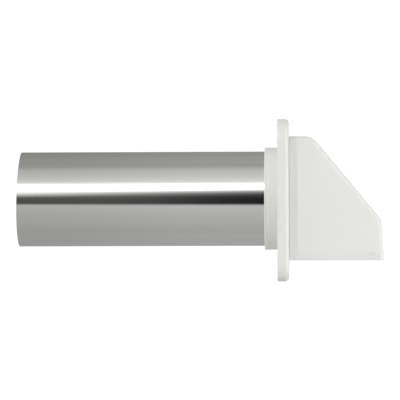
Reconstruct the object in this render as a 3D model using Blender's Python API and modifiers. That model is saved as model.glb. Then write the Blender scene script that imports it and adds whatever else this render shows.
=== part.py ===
"""Wall exhaust vent: a rigid round pipe, a square wall plate and a sloping hood, with a gravity
backdraft damper and a swing-down bird guard inside the hood.

Frame: +X runs out of the wall along the duct, +Z is up, the duct's axis is Y = Z = 0, and the wall
is the plane X = 0. Units are metres.
"""

import math

import bmesh
import bpy
from mathutils import Matrix, Vector

MM = 0.001

# Shared
GAP = 0.3 * MM  # clearance between pieces that touch
PAST = 10 * MM  # how far a cutter runs past the face that it cuts through
ROUND_SIDES = 48
SMALL_SIDES = 16
ARC_STEPS = 4
WELD_DISTANCE = 0.001 * MM
SHARP_ANGLE = math.radians(32)

# Tail pipe: rolled sheet, closed by a four-layer lock seam at the back
PIPE_RADIUS = 50.8 * MM
PIPE_SHEET = 0.4 * MM
PIPE_FREE_END = -277.3 * MM
PIPE_FIXED_END = 2.1 * MM
PIPE_END_SKEW = math.radians(1.4)  # the free end is cut slightly out of square
SEAM_ANGLE = math.radians(-35)  # from +Y towards +Z
SEAM_WIDTH = 6 * MM
SEAM_LAYER = 0.55 * MM

# Wall plate: a square tray, open towards the wall
PLATE_HALF = 85.5 * MM
PLATE_CENTRE_Z = -1.5 * MM
PLATE_FRONT = 12.3 * MM
PLATE_CORNER = 23 * MM
PLATE_EDGE = 4.5 * MM
PLATE_EDGE_STEPS = 4
PLATE_WALL = 2.6 * MM
PLATE_HOLE_GAP = 0.36 * MM  # round the collar
PLATE_RING_WALL = 2.6 * MM
PLATE_RING_BACK = 2 * MM
PLATE_RIB = 1.6 * MM
PLATE_RIB_BACK = 4 * MM
WALL_SCREW_OFFSET = 71.5 * MM
WALL_SCREW_RADIUS = 2.5 * MM
WALL_SEAT_RADIUS = 4.75 * MM
WALL_SEAT_DEPTH = 3 * MM
WALL_BOSS_RADIUS = 5.6 * MM

# Pipe collar: a sleeve over the pipe, with a flange held between the plate and the hood
COLLAR_RADIUS = 54.85 * MM
COLLAR_END = -14.07 * MM
COLLAR_BEADS = (-12.6 * MM, -9.0 * MM)
BEAD_HALF = 0.8 * MM
BEAD_HEIGHT = 0.3 * MM
SOCKET_RADIUS = 52.3 * MM
SOCKET_LEAD = 1.2 * MM
CRUSH_RIBS = 12
CRUSH_RIB_WIDTH = 1.6 * MM
BORE_RADIUS = 50 * MM
ROUGH_BORE_RADIUS = 49 * MM  # as turned, before the bore is cut
FLANGE_BACK = PLATE_FRONT + GAP
FLANGE_FRONT = FLANGE_BACK + 2.4 * MM
FLANGE_HALF = 62.2 * MM
FLANGE_TOP = 63 * MM
FLANGE_BOTTOM = -57 * MM
FLANGE_CORNER = 3 * MM
SEAT_RADIUS = 53.5 * MM
SEAT_CENTRE_X = 20 * MM
SEAT_TILT = math.radians(5)
SEAT_TRIM_TOP = 54.5 * MM  # over the seat and under the hinge's ears

# Hood
HOOD_BACK = PLATE_FRONT + GAP
HOOD_TOP = 65.9 * MM
HOOD_BOTTOM = -64.9 * MM
HOOD_HALF = 65 * MM
HOOD_WALL = 2.4 * MM
HOOD_EDGE = 5 * MM
HOOD_EDGE_STEPS = 3
BROW_X = 35.8 * MM  # where the flat top and the slope would meet
BROW_RADIUS = 17 * MM
CHIN_RADIUS = 23 * MM
SLOPE = math.radians(50)
FRONT_X = 111 * MM  # front wall, at the top of the lip
FRONT_DRAFT = math.radians(1.5)
LIP_TOP = -54.9 * MM
LIP_PROUD = 1.2 * MM
LIP_EDGE = 0.6 * MM
LIP_EDGE_STEPS = 2
BOSS_RADIUS = 4 * MM
BOSS_Y = 57.5 * MM
BOSS_HEIGHTS = (50 * MM, -48 * MM)
BOSS_END = 27.5 * MM
BOSS_WEB = 2.4 * MM

# Hood screws: pan head, driven from inside the tray
SCREW_RADIUS = 1.55 * MM
SCREW_HOLE_GAP = 0.45 * MM  # in the plate and the flange
SCREW_HEAD_RADIUS = 3.5 * MM
SCREW_HEAD_HEIGHT = 2.3 * MM
SCREW_LENGTH = 15.5 * MM
SCREW_TIP = 3 * MM
SCREW_POINT = (0.5 * MM, 0.3 * MM)  # radius and height of the blunt point
SCREW_DOME = 0.6 * MM
SCREW_CORE = 0.01 * MM  # a turned profile has to stop short of its axis
RECESS_ARM = 3.6 * MM
RECESS_WIDTH = 0.9 * MM
RECESS_DEPTH = 1.3 * MM

# Damper: a flap on a steel pin, closing by its own weight on the tilted seat
PIN_ABOVE = 58.3 * MM  # from the duct's axis to the pin, along the tilted seat
PIN_AHEAD = 4.7 * MM  # from the seat to the pin, square to it
PIN_RADIUS = 1.25 * MM
PIN_HALF = 54.5 * MM
PIN_HOLE_RADIUS = 1.6 * MM
EAR_INNER = 49.3 * MM
EAR_OUTER = 52.2 * MM
EAR_RADIUS = 3.1 * MM
CLIP_RADIUS = 3.3 * MM
CLIP_THICKNESS = 0.7 * MM
CLIP_SLOT = 1.9 * MM
SEAL_INNER = 49.6 * MM
SEAL_OUTER = 53.6 * MM
SEAL_THICKNESS = 1.5 * MM
FLAP_RADIUS = 54 * MM
FLAP_SHOULDER = 47 * MM
FLAP_TOP = 54.5 * MM
FLAP_THICKNESS = 1.6 * MM
FLAP_RIM = 1.8 * MM
FLAP_RIB = 1.6 * MM
FLAP_RIB_HEIGHT = 2.4 * MM
FLAP_STEP = 0.2 * MM  # between surfaces of the flap that would otherwise be flush
FLAP_RIB_OFFSET = 18 * MM
KNUCKLE_RADIUS = 2.75 * MM
KNUCKLE_SPAN = (32 * MM, 48.6 * MM)
KNUCKLE_ROOT = 4 * MM

# Bird guard: a grid in the hood's mouth, on two stub pins through the hood's sides
PIVOT_X = 99.3 * MM
PIVOT_Z = -60.4 * MM
PIVOT_RADIUS = 2.7 * MM
PIVOT_HOLE_RADIUS = 3.2 * MM
PIVOT_END = 65.3 * MM
GUARD_BACK = 15.8 * MM
GUARD_FRONT = 106.8 * MM
GUARD_HALF = 61.2 * MM
GUARD_BOTTOM = -62.8 * MM
GUARD_TOP = -58.8 * MM
GUARD_RAIL = 4 * MM
GUARD_BAR = 1.6 * MM
GUARD_CELLS = (6, 8)
TONGUE_Y = 30 * MM
TONGUE_HALF = 4 * MM
TONGUE_TOP = -55 * MM
TONGUE_THICKNESS = 1.4 * MM
PULL_HALF = 10 * MM
PULL_DROP = 1.9 * MM

# Rotations that stand a shape drawn in X and Y up in the object's frame
FACING_X = Matrix(((0, 0, 1), (1, 0, 0), (0, 1, 0))).to_4x4()
FACING_Y = Matrix(((1, 0, 0), (0, 0, -1), (0, 1, 0))).to_4x4()

UP_THE_SEAT = Vector((-math.sin(SEAT_TILT), 0, math.cos(SEAT_TILT)))
OFF_THE_SEAT = Vector((math.cos(SEAT_TILT), 0, math.sin(SEAT_TILT)))
PIN_CENTRE = (
    Vector((SEAT_CENTRE_X, 0, 0)) + UP_THE_SEAT * PIN_ABOVE + OFF_THE_SEAT * PIN_AHEAD
)
SCREW_PLACES = [(side * BOSS_Y, height) for height in BOSS_HEIGHTS for side in (-1, 1)]


# ---- scene and materials ----


def clear_scene():
    for item in list(bpy.data.objects):
        bpy.data.objects.remove(item, do_unlink=True)


def new_collection(name):
    collection = bpy.data.collections.new(name)
    bpy.context.scene.collection.children.link(collection)
    return collection


def new_material(name, colour, roughness, metallic=0.0):
    material = bpy.data.materials.new(name)
    material.use_nodes = True
    shader = material.node_tree.nodes["Principled BSDF"]
    shader.inputs["Base Color"].default_value = (*colour, 1)
    shader.inputs["Roughness"].default_value = roughness
    shader.inputs["Metallic"].default_value = metallic
    return material


# ---- shapes, each returned as a mesh ----


def finished_mesh(shape, name):
    mesh = bpy.data.meshes.new(name)
    shape.to_mesh(mesh)
    shape.free()
    mesh.shade_smooth()
    mesh.set_sharp_from_angle(angle=SHARP_ANGLE)
    return mesh


def boxes(name, spans):
    """Boxes given as (low corner, high corner) pairs, as one mesh."""
    shape = bmesh.new()
    for low, high in spans:
        low = Vector(low)
        size = Vector(high) - low
        place = Matrix.Translation(low + size / 2) @ Matrix.Diagonal((*size, 1))
        bmesh.ops.create_cube(shape, size=1, matrix=place)
    return finished_mesh(shape, name)


def rods(name, radius, spans, sides=SMALL_SIDES):
    """Cylinders given as (start point, end point) pairs, as one mesh."""
    shape = bmesh.new()
    for start, end in spans:
        start, end = Vector(start), Vector(end)
        turn = (end - start).to_track_quat("Z", "Y").to_matrix().to_4x4()
        place = Matrix.Translation((start + end) / 2) @ turn
        bmesh.ops.create_cone(
            shape,
            cap_ends=True,
            segments=sides,
            radius1=radius,
            radius2=radius,
            depth=(end - start).length,
            matrix=place,
        )
    return finished_mesh(shape, name)


def rounded_outline(corners, arc_steps=ARC_STEPS):
    """Points round a polygon of (x, y, radius) corners, with an arc at each corner."""
    points = []
    for index, (x, y, radius) in enumerate(corners):
        corner = Vector((x, y))
        if radius <= 0:
            points.append(corner)
            continue
        back = (Vector(corners[index - 1][:2]) - corner).normalized()
        ahead = (Vector(corners[(index + 1) % len(corners)][:2]) - corner).normalized()
        half_angle = back.angle(ahead) / 2
        centre = corner + (back + ahead).normalized() * radius / math.sin(half_angle)
        arm = corner + back * radius / math.tan(half_angle) - centre
        turn = (math.pi - 2 * half_angle) * (1 if back.cross(ahead) < 0 else -1)
        for step in range(arc_steps + 1):
            points.append(centre + Matrix.Rotation(turn * step / arc_steps, 2) @ arm)
    return points


def rounded_box_outline(low, high, radius):
    corners = [(low[0], low[1]), (high[0], low[1]), (high[0], high[1]), (low[0], high[1])]
    return rounded_outline([(x, y, radius) for x, y in corners])


def slab(name, outlines, low, high, stand=Matrix()):
    """A flat outline, with any holes, from low to high along its own Z, then stood up."""
    curve = bpy.data.curves.new(name, "CURVE")
    curve.dimensions = "2D"
    curve.fill_mode = "BOTH"
    curve.extrude = (high - low) / 2
    for outline in outlines:
        spline = curve.splines.new("POLY")
        spline.points.add(len(outline) - 1)
        for point, place in zip(spline.points, outline):
            point.co = (place[0], place[1], 0, 1)
        spline.use_cyclic_u = True
    drawn = bpy.data.objects.new(name, curve)
    bpy.context.scene.collection.objects.link(drawn)
    evaluated = drawn.evaluated_get(bpy.context.evaluated_depsgraph_get())
    loose = bpy.data.meshes.new_from_object(evaluated)
    shape = bmesh.new()
    shape.from_mesh(loose)
    bpy.data.objects.remove(drawn)
    bpy.data.meshes.remove(loose)
    bmesh.ops.remove_doubles(shape, verts=shape.verts, dist=WELD_DISTANCE)
    bmesh.ops.dissolve_limit(
        shape, angle_limit=math.radians(0.1), verts=shape.verts, edges=shape.edges
    )
    bmesh.ops.transform(
        shape,
        matrix=stand @ Matrix.Translation((0, 0, (low + high) / 2)),
        verts=shape.verts,
    )
    return finished_mesh(shape, name)


def round_edges(mesh, width, steps, chosen):
    """Bevels the edges of a mesh whose two ends both satisfy chosen."""
    shape = bmesh.new()
    shape.from_mesh(mesh)
    edges = [edge for edge in shape.edges if all(chosen(end.co) for end in edge.verts)]
    bmesh.ops.bevel(
        shape,
        geom=edges,
        offset=width,
        segments=steps,
        profile=0.5,
        affect="EDGES",
        clamp_overlap=True,
    )
    shape.to_mesh(mesh)
    shape.free()
    mesh.shade_smooth()
    mesh.set_sharp_from_angle(angle=SHARP_ANGLE)


def ring_profile(name, points):
    """A closed profile of (radius, height) points, outer side first from top to bottom."""
    shape = bmesh.new()
    corners = [shape.verts.new((radius, 0, height)) for radius, height in points]
    for index, corner in enumerate(corners):
        shape.edges.new((corners[index - 1], corner))
    mesh = bpy.data.meshes.new(name)
    shape.to_mesh(mesh)
    shape.free()
    return mesh


# ---- objects and modifiers ----


def add_part(name, mesh, collection, material):
    part = bpy.data.objects.new(name, mesh)
    if not mesh.materials:
        mesh.materials.append(material)
    collection.objects.link(part)
    return part


def add_turned(name, points, collection, material, sides, stand):
    """Turns a profile about its own Z, which stand then points the right way."""
    part = add_part(name, ring_profile(name, points), collection, material)
    part.matrix_world = stand
    screw = part.modifiers.new("turn", "SCREW")
    screw.axis = "Z"
    screw.angle = math.tau
    screw.steps = sides
    screw.render_steps = sides
    screw.use_merge_vertices = True
    screw.merge_threshold = WELD_DISTANCE
    return part


def add_tool(mesh, collection):
    tool = bpy.data.objects.new(mesh.name, mesh)
    tool.hide_render = True
    tool.display_type = "WIRE"
    collection.objects.link(tool)
    return tool


def combine(part, tool, operation, solver="EXACT"):
    step = part.modifiers.new(tool.name, "BOOLEAN")
    step.operation = operation
    step.solver = solver
    step.object = tool
    return step


def add_axis(name, centre, collection):
    axis = bpy.data.objects.new(name, None)
    axis.location = centre
    axis.empty_display_size = 10 * MM
    collection.objects.link(axis)
    bpy.context.view_layer.update()
    return axis


def hang_on(part, axis):
    part.parent = axis
    part.matrix_parent_inverse = axis.matrix_world.inverted()


# ---- tail pipe ----


def pipe_section():
    """The sheet's middle line as (angle, radius), from one hooked edge round to the other."""
    middle = PIPE_RADIUS - PIPE_SHEET / 2
    seam = SEAM_WIDTH / middle
    under_hook = [(0.85, 1), (0.45, 1), (0.08, 1), (0.08, 3), (0.55, 3), (1.0, 3)]
    over_hook = [(0.46, 0), (0.92, 0), (0.92, 2), (0.55, 2), (0.15, 2)]
    start = 1.2 * seam
    arc = [
        (start + (math.tau - start) * step / ROUND_SIDES, middle)
        for step in range(ROUND_SIDES + 1)
    ]
    under = [(part * seam, middle - layer * SEAM_LAYER) for part, layer in under_hook]
    over = [
        (math.tau + part * seam, middle - layer * SEAM_LAYER) for part, layer in over_hook
    ]
    return under + arc + over


def make_tail_pipe(parts, tools, material):
    shape = bmesh.new()
    line = []
    for angle, radius in pipe_section():
        turn = angle + SEAM_ANGLE
        place = (PIPE_FREE_END - PAST, radius * math.cos(turn), radius * math.sin(turn))
        line.append(shape.verts.new(place))
    edges = [shape.edges.new(pair) for pair in zip(line, line[1:])]
    swept = bmesh.ops.extrude_edge_only(shape, edges=edges)["geom"]
    moved = [item for item in swept if isinstance(item, bmesh.types.BMVert)]
    length = PIPE_FIXED_END - PIPE_FREE_END + PAST
    bmesh.ops.translate(shape, verts=moved, vec=(length, 0, 0))
    bmesh.ops.recalc_face_normals(shape, faces=shape.faces)
    pipe = add_part("tail_pipe", finished_mesh(shape, "tail_pipe"), parts, material)
    wall = pipe.modifiers.new("sheet", "SOLIDIFY")
    wall.thickness = PIPE_SHEET
    wall.offset = 0
    wall.use_even_offset = True
    half = PIPE_RADIUS + PAST
    waste = boxes("pipe_end_waste", [((-3 * PAST, -half, -half), (0, half, half))])
    end = add_tool(waste, tools)
    end.location = (PIPE_FREE_END, 0, 0)
    end.rotation_euler = (0, PIPE_END_SKEW, 0)
    combine(pipe, end, "DIFFERENCE")


# ---- wall plate ----


def plate_outline(inset):
    half = PLATE_HALF - inset
    low = (-half, PLATE_CENTRE_Z - half)
    high = (half, PLATE_CENTRE_Z + half)
    return rounded_box_outline(low, high, PLATE_CORNER - inset)


def wall_screw_places():
    offsets = (-WALL_SCREW_OFFSET, WALL_SCREW_OFFSET)
    return [(y, PLATE_CENTRE_Z + z) for z in offsets for y in offsets]


def circle(radius, sides=ROUND_SIDES):
    angles = [math.tau * step / sides for step in range(sides)]
    return [(radius * math.cos(angle), radius * math.sin(angle)) for angle in angles]


def plate_ribs(inside):
    """Four ribs from the ring round the centre hole to the middle of each side."""
    ring = COLLAR_RADIUS + GAP + PLATE_RING_WALL / 2
    edge = PLATE_HALF - PLATE_WALL / 2
    half = PLATE_RIB / 2
    back, front = PLATE_RIB_BACK, inside + PLATE_WALL / 2
    middle = PLATE_CENTRE_Z
    return [
        ((back, -half, ring), (front, half, middle + edge)),
        ((back, -half, middle - edge), (front, half, -ring)),
        ((back, ring, -half), (front, edge, half)),
        ((back, -edge, -half), (front, -ring, half)),
    ]


def make_wall_plate(parts, tools, material):
    mesh = slab("wall_plate", [plate_outline(0)], 0, PLATE_FRONT, FACING_X)
    round_edges(
        mesh,
        PLATE_EDGE,
        PLATE_EDGE_STEPS,
        lambda place: place.x > PLATE_FRONT - WELD_DISTANCE,
    )
    plate = add_part("wall_plate", mesh, parts, material)
    inside = PLATE_FRONT - PLATE_WALL
    hollow = slab("plate_hollow", [plate_outline(PLATE_WALL)], -PAST, inside, FACING_X)
    combine(plate, add_tool(hollow, tools), "DIFFERENCE")

    hole_radius = COLLAR_RADIUS + PLATE_HOLE_GAP
    ring = slab(
        "plate_ring",
        [circle(hole_radius + PLATE_RING_WALL)],
        PLATE_RING_BACK,
        inside + PLATE_WALL / 2,
        FACING_X,
    )
    bosses = [((0, y, z), (inside + PLATE_WALL / 2, y, z)) for y, z in wall_screw_places()]
    added = [
        boxes("plate_ribs", plate_ribs(inside)),
        ring,
        rods("plate_bosses", WALL_BOSS_RADIUS, bosses),
    ]
    for mesh in added:
        combine(plate, add_tool(mesh, tools), "UNION")

    through = [((-PAST, y, z), (PAST + PLATE_FRONT, y, z)) for y, z in wall_screw_places()]
    seat_x = PLATE_FRONT - WALL_SEAT_DEPTH
    seats = [((seat_x, y, z), (PAST + PLATE_FRONT, y, z)) for y, z in wall_screw_places()]
    clear = [((0, y, z), (PAST + PLATE_FRONT, y, z)) for y, z in SCREW_PLACES]
    removed = [
        slab("plate_bore", [circle(hole_radius)], -PAST, PAST + PLATE_FRONT, FACING_X),
        rods("wall_screw_holes", WALL_SCREW_RADIUS, through),
        rods("wall_screw_seats", WALL_SEAT_RADIUS, seats),
        rods("hood_screw_holes", SCREW_RADIUS + SCREW_HOLE_GAP, clear),
    ]
    for mesh in removed:
        combine(plate, add_tool(mesh, tools), "DIFFERENCE")


# ---- pipe collar ----


def collar_profile():
    """Outer side from the seat down to the open end, then up the socket and the bore."""
    top = SEAT_CENTRE_X + PAST
    step_x = (FLANGE_BACK + FLANGE_FRONT) / 2
    profile = [(SEAT_RADIUS, top), (SEAT_RADIUS, step_x), (COLLAR_RADIUS, step_x)]
    for centre in reversed(COLLAR_BEADS):
        profile += [
            (COLLAR_RADIUS, centre + BEAD_HALF),
            (COLLAR_RADIUS + BEAD_HEIGHT, centre + BEAD_HALF / 2),
            (COLLAR_RADIUS + BEAD_HEIGHT, centre - BEAD_HALF / 2),
            (COLLAR_RADIUS, centre - BEAD_HALF),
        ]
    ledge_x = PIPE_FIXED_END + GAP
    profile += [
        (COLLAR_RADIUS, COLLAR_END),
        (SOCKET_RADIUS + SOCKET_LEAD / 2, COLLAR_END),
        (SOCKET_RADIUS, COLLAR_END + SOCKET_LEAD),
        (SOCKET_RADIUS, ledge_x),
        (ROUGH_BORE_RADIUS, ledge_x),
        (ROUGH_BORE_RADIUS, top),
    ]
    return profile


def crush_ribs():
    """Ribs inside the socket, whose tips guide the pipe."""
    shape = bmesh.new()
    inner = PIPE_RADIUS + GAP
    size = Vector((0, CRUSH_RIB_WIDTH, SOCKET_RADIUS + SOCKET_LEAD / 2 - inner))
    start, end = COLLAR_END + 2 * SOCKET_LEAD, PIPE_FIXED_END + 2 * GAP
    size.x = end - start
    middle = Vector(((start + end) / 2, 0, inner + size.z / 2))
    for index in range(CRUSH_RIBS):
        turn = Matrix.Rotation(math.tau * index / CRUSH_RIBS, 4, "X")
        place = turn @ Matrix.Translation(middle) @ Matrix.Diagonal((*size, 1))
        bmesh.ops.create_cube(shape, size=1, matrix=place)
    return finished_mesh(shape, "crush_ribs")


def ear_spans():
    return [(side * EAR_INNER, side * EAR_OUTER) for side in (-1, 1)]


def make_pipe_collar(parts, tools, material):
    collar = add_turned(
        "pipe_collar", collar_profile(), parts, material, ROUND_SIDES, FACING_X
    )
    low, high = (-FLANGE_HALF, FLANGE_BOTTOM), (FLANGE_HALF, FLANGE_TOP)
    outline = rounded_box_outline(low, high, FLANGE_CORNER)
    flange = slab("collar_flange", [outline], FLANGE_BACK, FLANGE_FRONT, FACING_X)
    x, z = PIN_CENTRE.x, PIN_CENTRE.z
    root = (FLANGE_BACK + FLANGE_FRONT) / 2
    ear_ends = [((x, start, z), (x, end, z)) for start, end in ear_spans()]
    ear_roots = [
        ((root, min(span), z - EAR_RADIUS), (x, max(span), z + EAR_RADIUS))
        for span in ear_spans()
    ]
    added = [
        flange,
        crush_ribs(),
        boxes("ear_roots", ear_roots),
        rods("ear_ends", EAR_RADIUS, ear_ends),
    ]
    for mesh in added:
        combine(collar, add_tool(mesh, tools), "UNION")

    ledge_x = PIPE_FIXED_END + GAP
    bore_from = ledge_x - GAP / 2
    bore_to = SEAT_CENTRE_X + 3 * PAST
    wide = FLANGE_HALF + PAST
    pin_line = [((x, -wide, z), (x, wide, z))]
    clear = [((0, y, z), (PAST + FLANGE_FRONT, y, z)) for y, z in SCREW_PLACES]
    removed = [
        slab("collar_bore", [circle(BORE_RADIUS)], bore_from, bore_to, FACING_X),
        rods("flange_screw_holes", SCREW_RADIUS + SCREW_HOLE_GAP, clear),
        rods("ear_holes", PIN_HOLE_RADIUS, pin_line),
    ]
    for mesh in removed:
        combine(collar, add_tool(mesh, tools), "DIFFERENCE")
    low, high = (0, -wide, -wide), (2 * PAST, wide, SEAT_TRIM_TOP)
    above = add_tool(boxes("seat_trim", [(low, high)]), tools)
    above.location = (SEAT_CENTRE_X, 0, 0)
    above.rotation_euler = (0, -SEAT_TILT, 0)
    combine(collar, above, "DIFFERENCE")


# ---- hood ----


def crossing(first, second):
    """Where two lines meet, each given as a point and a direction in a plane."""
    (start, along), (other_start, other_along) = first, second
    return start + along * (other_start - start).cross(other_along) / along.cross(other_along)


def hood_outline(inset, reach):
    """The hood's side profile in X and Z, inset by a wall, running past its open sides."""
    slope_along = Vector((math.cos(SLOPE), -math.sin(SLOPE)))
    slope_inward = Vector((-math.sin(SLOPE), -math.cos(SLOPE)))
    front_along = Vector((math.sin(FRONT_DRAFT), -math.cos(FRONT_DRAFT)))
    front_inward = Vector((-math.cos(FRONT_DRAFT), -math.sin(FRONT_DRAFT)))
    top = (Vector((0, HOOD_TOP - inset)), Vector((1, 0)))
    slope = (Vector((BROW_X, HOOD_TOP)) + slope_inward * inset, slope_along)
    front = (Vector((FRONT_X, LIP_TOP)) + front_inward * inset, front_along)
    floor = (Vector((0, HOOD_BOTTOM - reach)), Vector((1, 0)))
    brow, chin, toe = crossing(top, slope), crossing(slope, front), crossing(front, floor)
    return rounded_outline(
        [
            (HOOD_BACK - reach, HOOD_BOTTOM - reach, 0),
            (toe.x, toe.y, 0),
            (chin.x, chin.y, CHIN_RADIUS - inset),
            (brow.x, brow.y, BROW_RADIUS - inset),
            (HOOD_BACK - reach, HOOD_TOP - inset, 0),
        ]
    )


def hood_blank(name, inset, reach):
    """The hood as a solid block, with its long edges rounded."""
    half = HOOD_HALF - inset
    mesh = slab(name, [hood_outline(inset, reach)], -half, half, FACING_Y)
    round_edges(
        mesh,
        HOOD_EDGE - inset,
        HOOD_EDGE_STEPS,
        lambda place: abs(place.y) > half - WELD_DISTANCE,
    )
    return mesh


def lip_band():
    """The thicker band round the foot of the hood."""
    half = HOOD_HALF + LIP_PROUD
    low, high = (HOOD_BACK - 2 * PAST, -half), (FRONT_X + LIP_PROUD, half)
    outline = rounded_box_outline(low, high, HOOD_EDGE + LIP_PROUD)
    mesh = slab("lip_band", [outline], HOOD_BOTTOM - 2 * PAST, LIP_TOP)
    round_edges(
        mesh,
        LIP_EDGE,
        LIP_EDGE_STEPS,
        lambda place: place.z > LIP_TOP - WELD_DISTANCE,
    )
    return mesh


def make_hood_shell(parts, tools, material):
    hood = add_part("hood_shell", hood_blank("hood_shell", 0, PAST), parts, material)
    combine(hood, add_tool(lip_band(), tools), "UNION")
    inner = hood_blank("hood_inside", HOOD_WALL, 3 * PAST)
    combine(hood, add_tool(inner, tools), "DIFFERENCE")
    wide, far = HOOD_HALF + PAST, FRONT_X + PAST
    kept = [((HOOD_BACK, -wide, HOOD_BOTTOM), (far, wide, HOOD_TOP + PAST))]
    combine(hood, add_tool(boxes("hood_kept", kept), tools), "INTERSECT")

    start = FLANGE_FRONT + GAP
    wall = HOOD_HALF - HOOD_WALL / 2
    bosses = [((start, y, z), (BOSS_END, y, z)) for y, z in SCREW_PLACES]
    webs = [
        (
            (start, min(y, math.copysign(wall, y)), z - BOSS_WEB / 2),
            (BOSS_END, max(y, math.copysign(wall, y)), z + BOSS_WEB / 2),
        )
        for y, z in SCREW_PLACES
    ]
    combine(hood, add_tool(boxes("boss_webs", webs), tools), "UNION")
    boss_tool = add_tool(rods("bosses", BOSS_RADIUS, bosses), tools)

    tip = FLANGE_BACK - PLATE_WALL - GAP + SCREW_LENGTH + 2 * GAP
    pilots = [((0, y, z), (tip, y, z)) for y, z in SCREW_PLACES]
    pilot_tool = add_tool(rods("screw_pilots", SCREW_RADIUS + GAP, pilots), tools)
    pivot = [((PIVOT_X, -wide, PIVOT_Z), (PIVOT_X, wide, PIVOT_Z))]
    pivot_tool = add_tool(rods("guard_pivot_holes", PIVOT_HOLE_RADIUS, pivot), tools)
    # EXACT leaves open edges here, beside the rounded edges, and MANIFOLD doesn't
    combine(hood, boss_tool, "UNION", "MANIFOLD")
    combine(hood, pilot_tool, "DIFFERENCE", "MANIFOLD")
    combine(hood, pivot_tool, "DIFFERENCE", "MANIFOLD")


def screw_profile():
    """Shank, then the domed head, from the tip down; the head is at the bottom."""
    crown = SCREW_HEAD_RADIUS - SCREW_DOME
    return [
        (SCREW_CORE, SCREW_LENGTH),
        (SCREW_POINT[0], SCREW_LENGTH - SCREW_POINT[1]),
        (SCREW_RADIUS, SCREW_LENGTH - SCREW_TIP),
        (SCREW_RADIUS, 0),
        (SCREW_HEAD_RADIUS, 0),
        (SCREW_HEAD_RADIUS, -SCREW_HEAD_HEIGHT / 2),
        (crown, -SCREW_HEAD_HEIGHT),
        (SCREW_CORE, -SCREW_HEAD_HEIGHT),
    ]


def make_hood_screws(parts, tools, material):
    """Four screws of one mesh, heads in the tray and tips in the hood's bosses."""
    first = add_turned(
        "screw_pattern", screw_profile(), tools, material, SMALL_SIDES, Matrix()
    )
    arm, half = RECESS_ARM / 2, RECESS_WIDTH / 2
    low, high = -SCREW_HEAD_HEIGHT - PAST, RECESS_DEPTH - SCREW_HEAD_HEIGHT
    cross = [
        ((-arm, -half, low), (arm, half, high)),
        ((-half, -arm, low), (half, arm, high)),
    ]
    for index, span in enumerate(cross):
        combine(first, add_tool(boxes(f"screw_recess_{index}", [span]), tools), "DIFFERENCE")
    evaluated = first.evaluated_get(bpy.context.evaluated_depsgraph_get())
    mesh = bpy.data.meshes.new_from_object(evaluated)
    mesh.name = "hood_screw"
    bpy.data.objects.remove(first)
    head_seat = PLATE_FRONT - PLATE_WALL - GAP
    for index, (y, z) in enumerate(SCREW_PLACES):
        screw = add_part(f"hood_screw_{index + 1}", mesh, parts, material)
        screw.location = (head_seat, y, z)
        screw.rotation_euler = (0, math.pi / 2, 0)


# ---- damper ----


def flap_outline(inset):
    """A disc with a square-shouldered top, in the flap's own plane, about the duct's axis."""
    radius, shoulder = FLAP_RADIUS - inset, FLAP_SHOULDER - inset
    start = math.acos(shoulder / radius)
    sweep = math.pi + 2 * start
    steps = ROUND_SIDES // 2
    points = [(-shoulder, FLAP_TOP - inset), (shoulder, FLAP_TOP - inset)]
    for step in range(steps + 1):
        angle = start - sweep * step / steps
        points.append((radius * math.cos(angle), radius * math.sin(angle)))
    return points


def damper_stand():
    """The tilted seat's frame: drawn X across, drawn Y up the seat, drawn Z off the seat."""
    stand = Matrix((Vector((0, 1, 0)), UP_THE_SEAT, OFF_THE_SEAT)).transposed().to_4x4()
    stand.translation = (SEAT_CENTRE_X, 0, 0)
    return stand


def make_damper_flap(parts, tools, material, axis):
    stand = damper_stand()
    back = GAP + SEAL_THICKNESS + GAP
    front = back + FLAP_THICKNESS
    ribbed = front + FLAP_RIB_HEIGHT
    sunk = front - FLAP_THICKNESS / 2
    flap = add_part(
        "damper_flap",
        slab("damper_flap", [flap_outline(0)], back, ribbed, stand),
        parts,
        material,
    )
    pocket = slab("flap_pocket", [flap_outline(FLAP_RIM)], front, ribbed + PAST, stand)
    combine(flap, add_tool(pocket, tools), "DIFFERENCE")
    half = FLAP_RIB / 2
    reach = FLAP_TOP - FLAP_RIM / 2
    drop = math.sqrt(FLAP_RADIUS**2 - FLAP_RIB_OFFSET**2) - FLAP_RIM
    ribs = [
        ((x - half, -drop, sunk), (x + half, reach, ribbed - FLAP_STEP))
        for x in (-FLAP_RIB_OFFSET, FLAP_RIB_OFFSET)
    ]
    root_low, root_high = back + FLAP_STEP, ribbed + FLAP_STEP
    roots = [
        ((min(span), FLAP_TOP - KNUCKLE_ROOT, root_low), (max(span), PIN_ABOVE, root_high))
        for span in ((-KNUCKLE_SPAN[1], -KNUCKLE_SPAN[0]), KNUCKLE_SPAN)
    ]
    barrels = [
        tuple((side * across, PIN_ABOVE, PIN_AHEAD) for across in KNUCKLE_SPAN)
        for side in (-1, 1)
    ]
    for mesh in (
        boxes("flap_ribs", ribs),
        boxes("knuckle_roots", roots),
        rods("knuckles", KNUCKLE_RADIUS, barrels),
    ):
        mesh.transform(stand)
        combine(flap, add_tool(mesh, tools), "UNION")
    x, z, wide = PIN_CENTRE.x, PIN_CENTRE.z, FLANGE_HALF
    hole = rods("flap_pin_hole", PIN_HOLE_RADIUS, [((x, -wide, z), (x, wide, z))])
    combine(flap, add_tool(hole, tools), "DIFFERENCE")
    hang_on(flap, axis)


def make_damper_seal(parts, material, axis):
    low, high = GAP, GAP + SEAL_THICKNESS
    outline = [(SEAL_OUTER, high), (SEAL_OUTER, low), (SEAL_INNER, low), (SEAL_INNER, high)]
    seal = add_turned(
        "damper_seal", outline, parts, material, ROUND_SIDES, damper_stand()
    )
    bpy.context.view_layer.update()
    hang_on(seal, axis)


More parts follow.
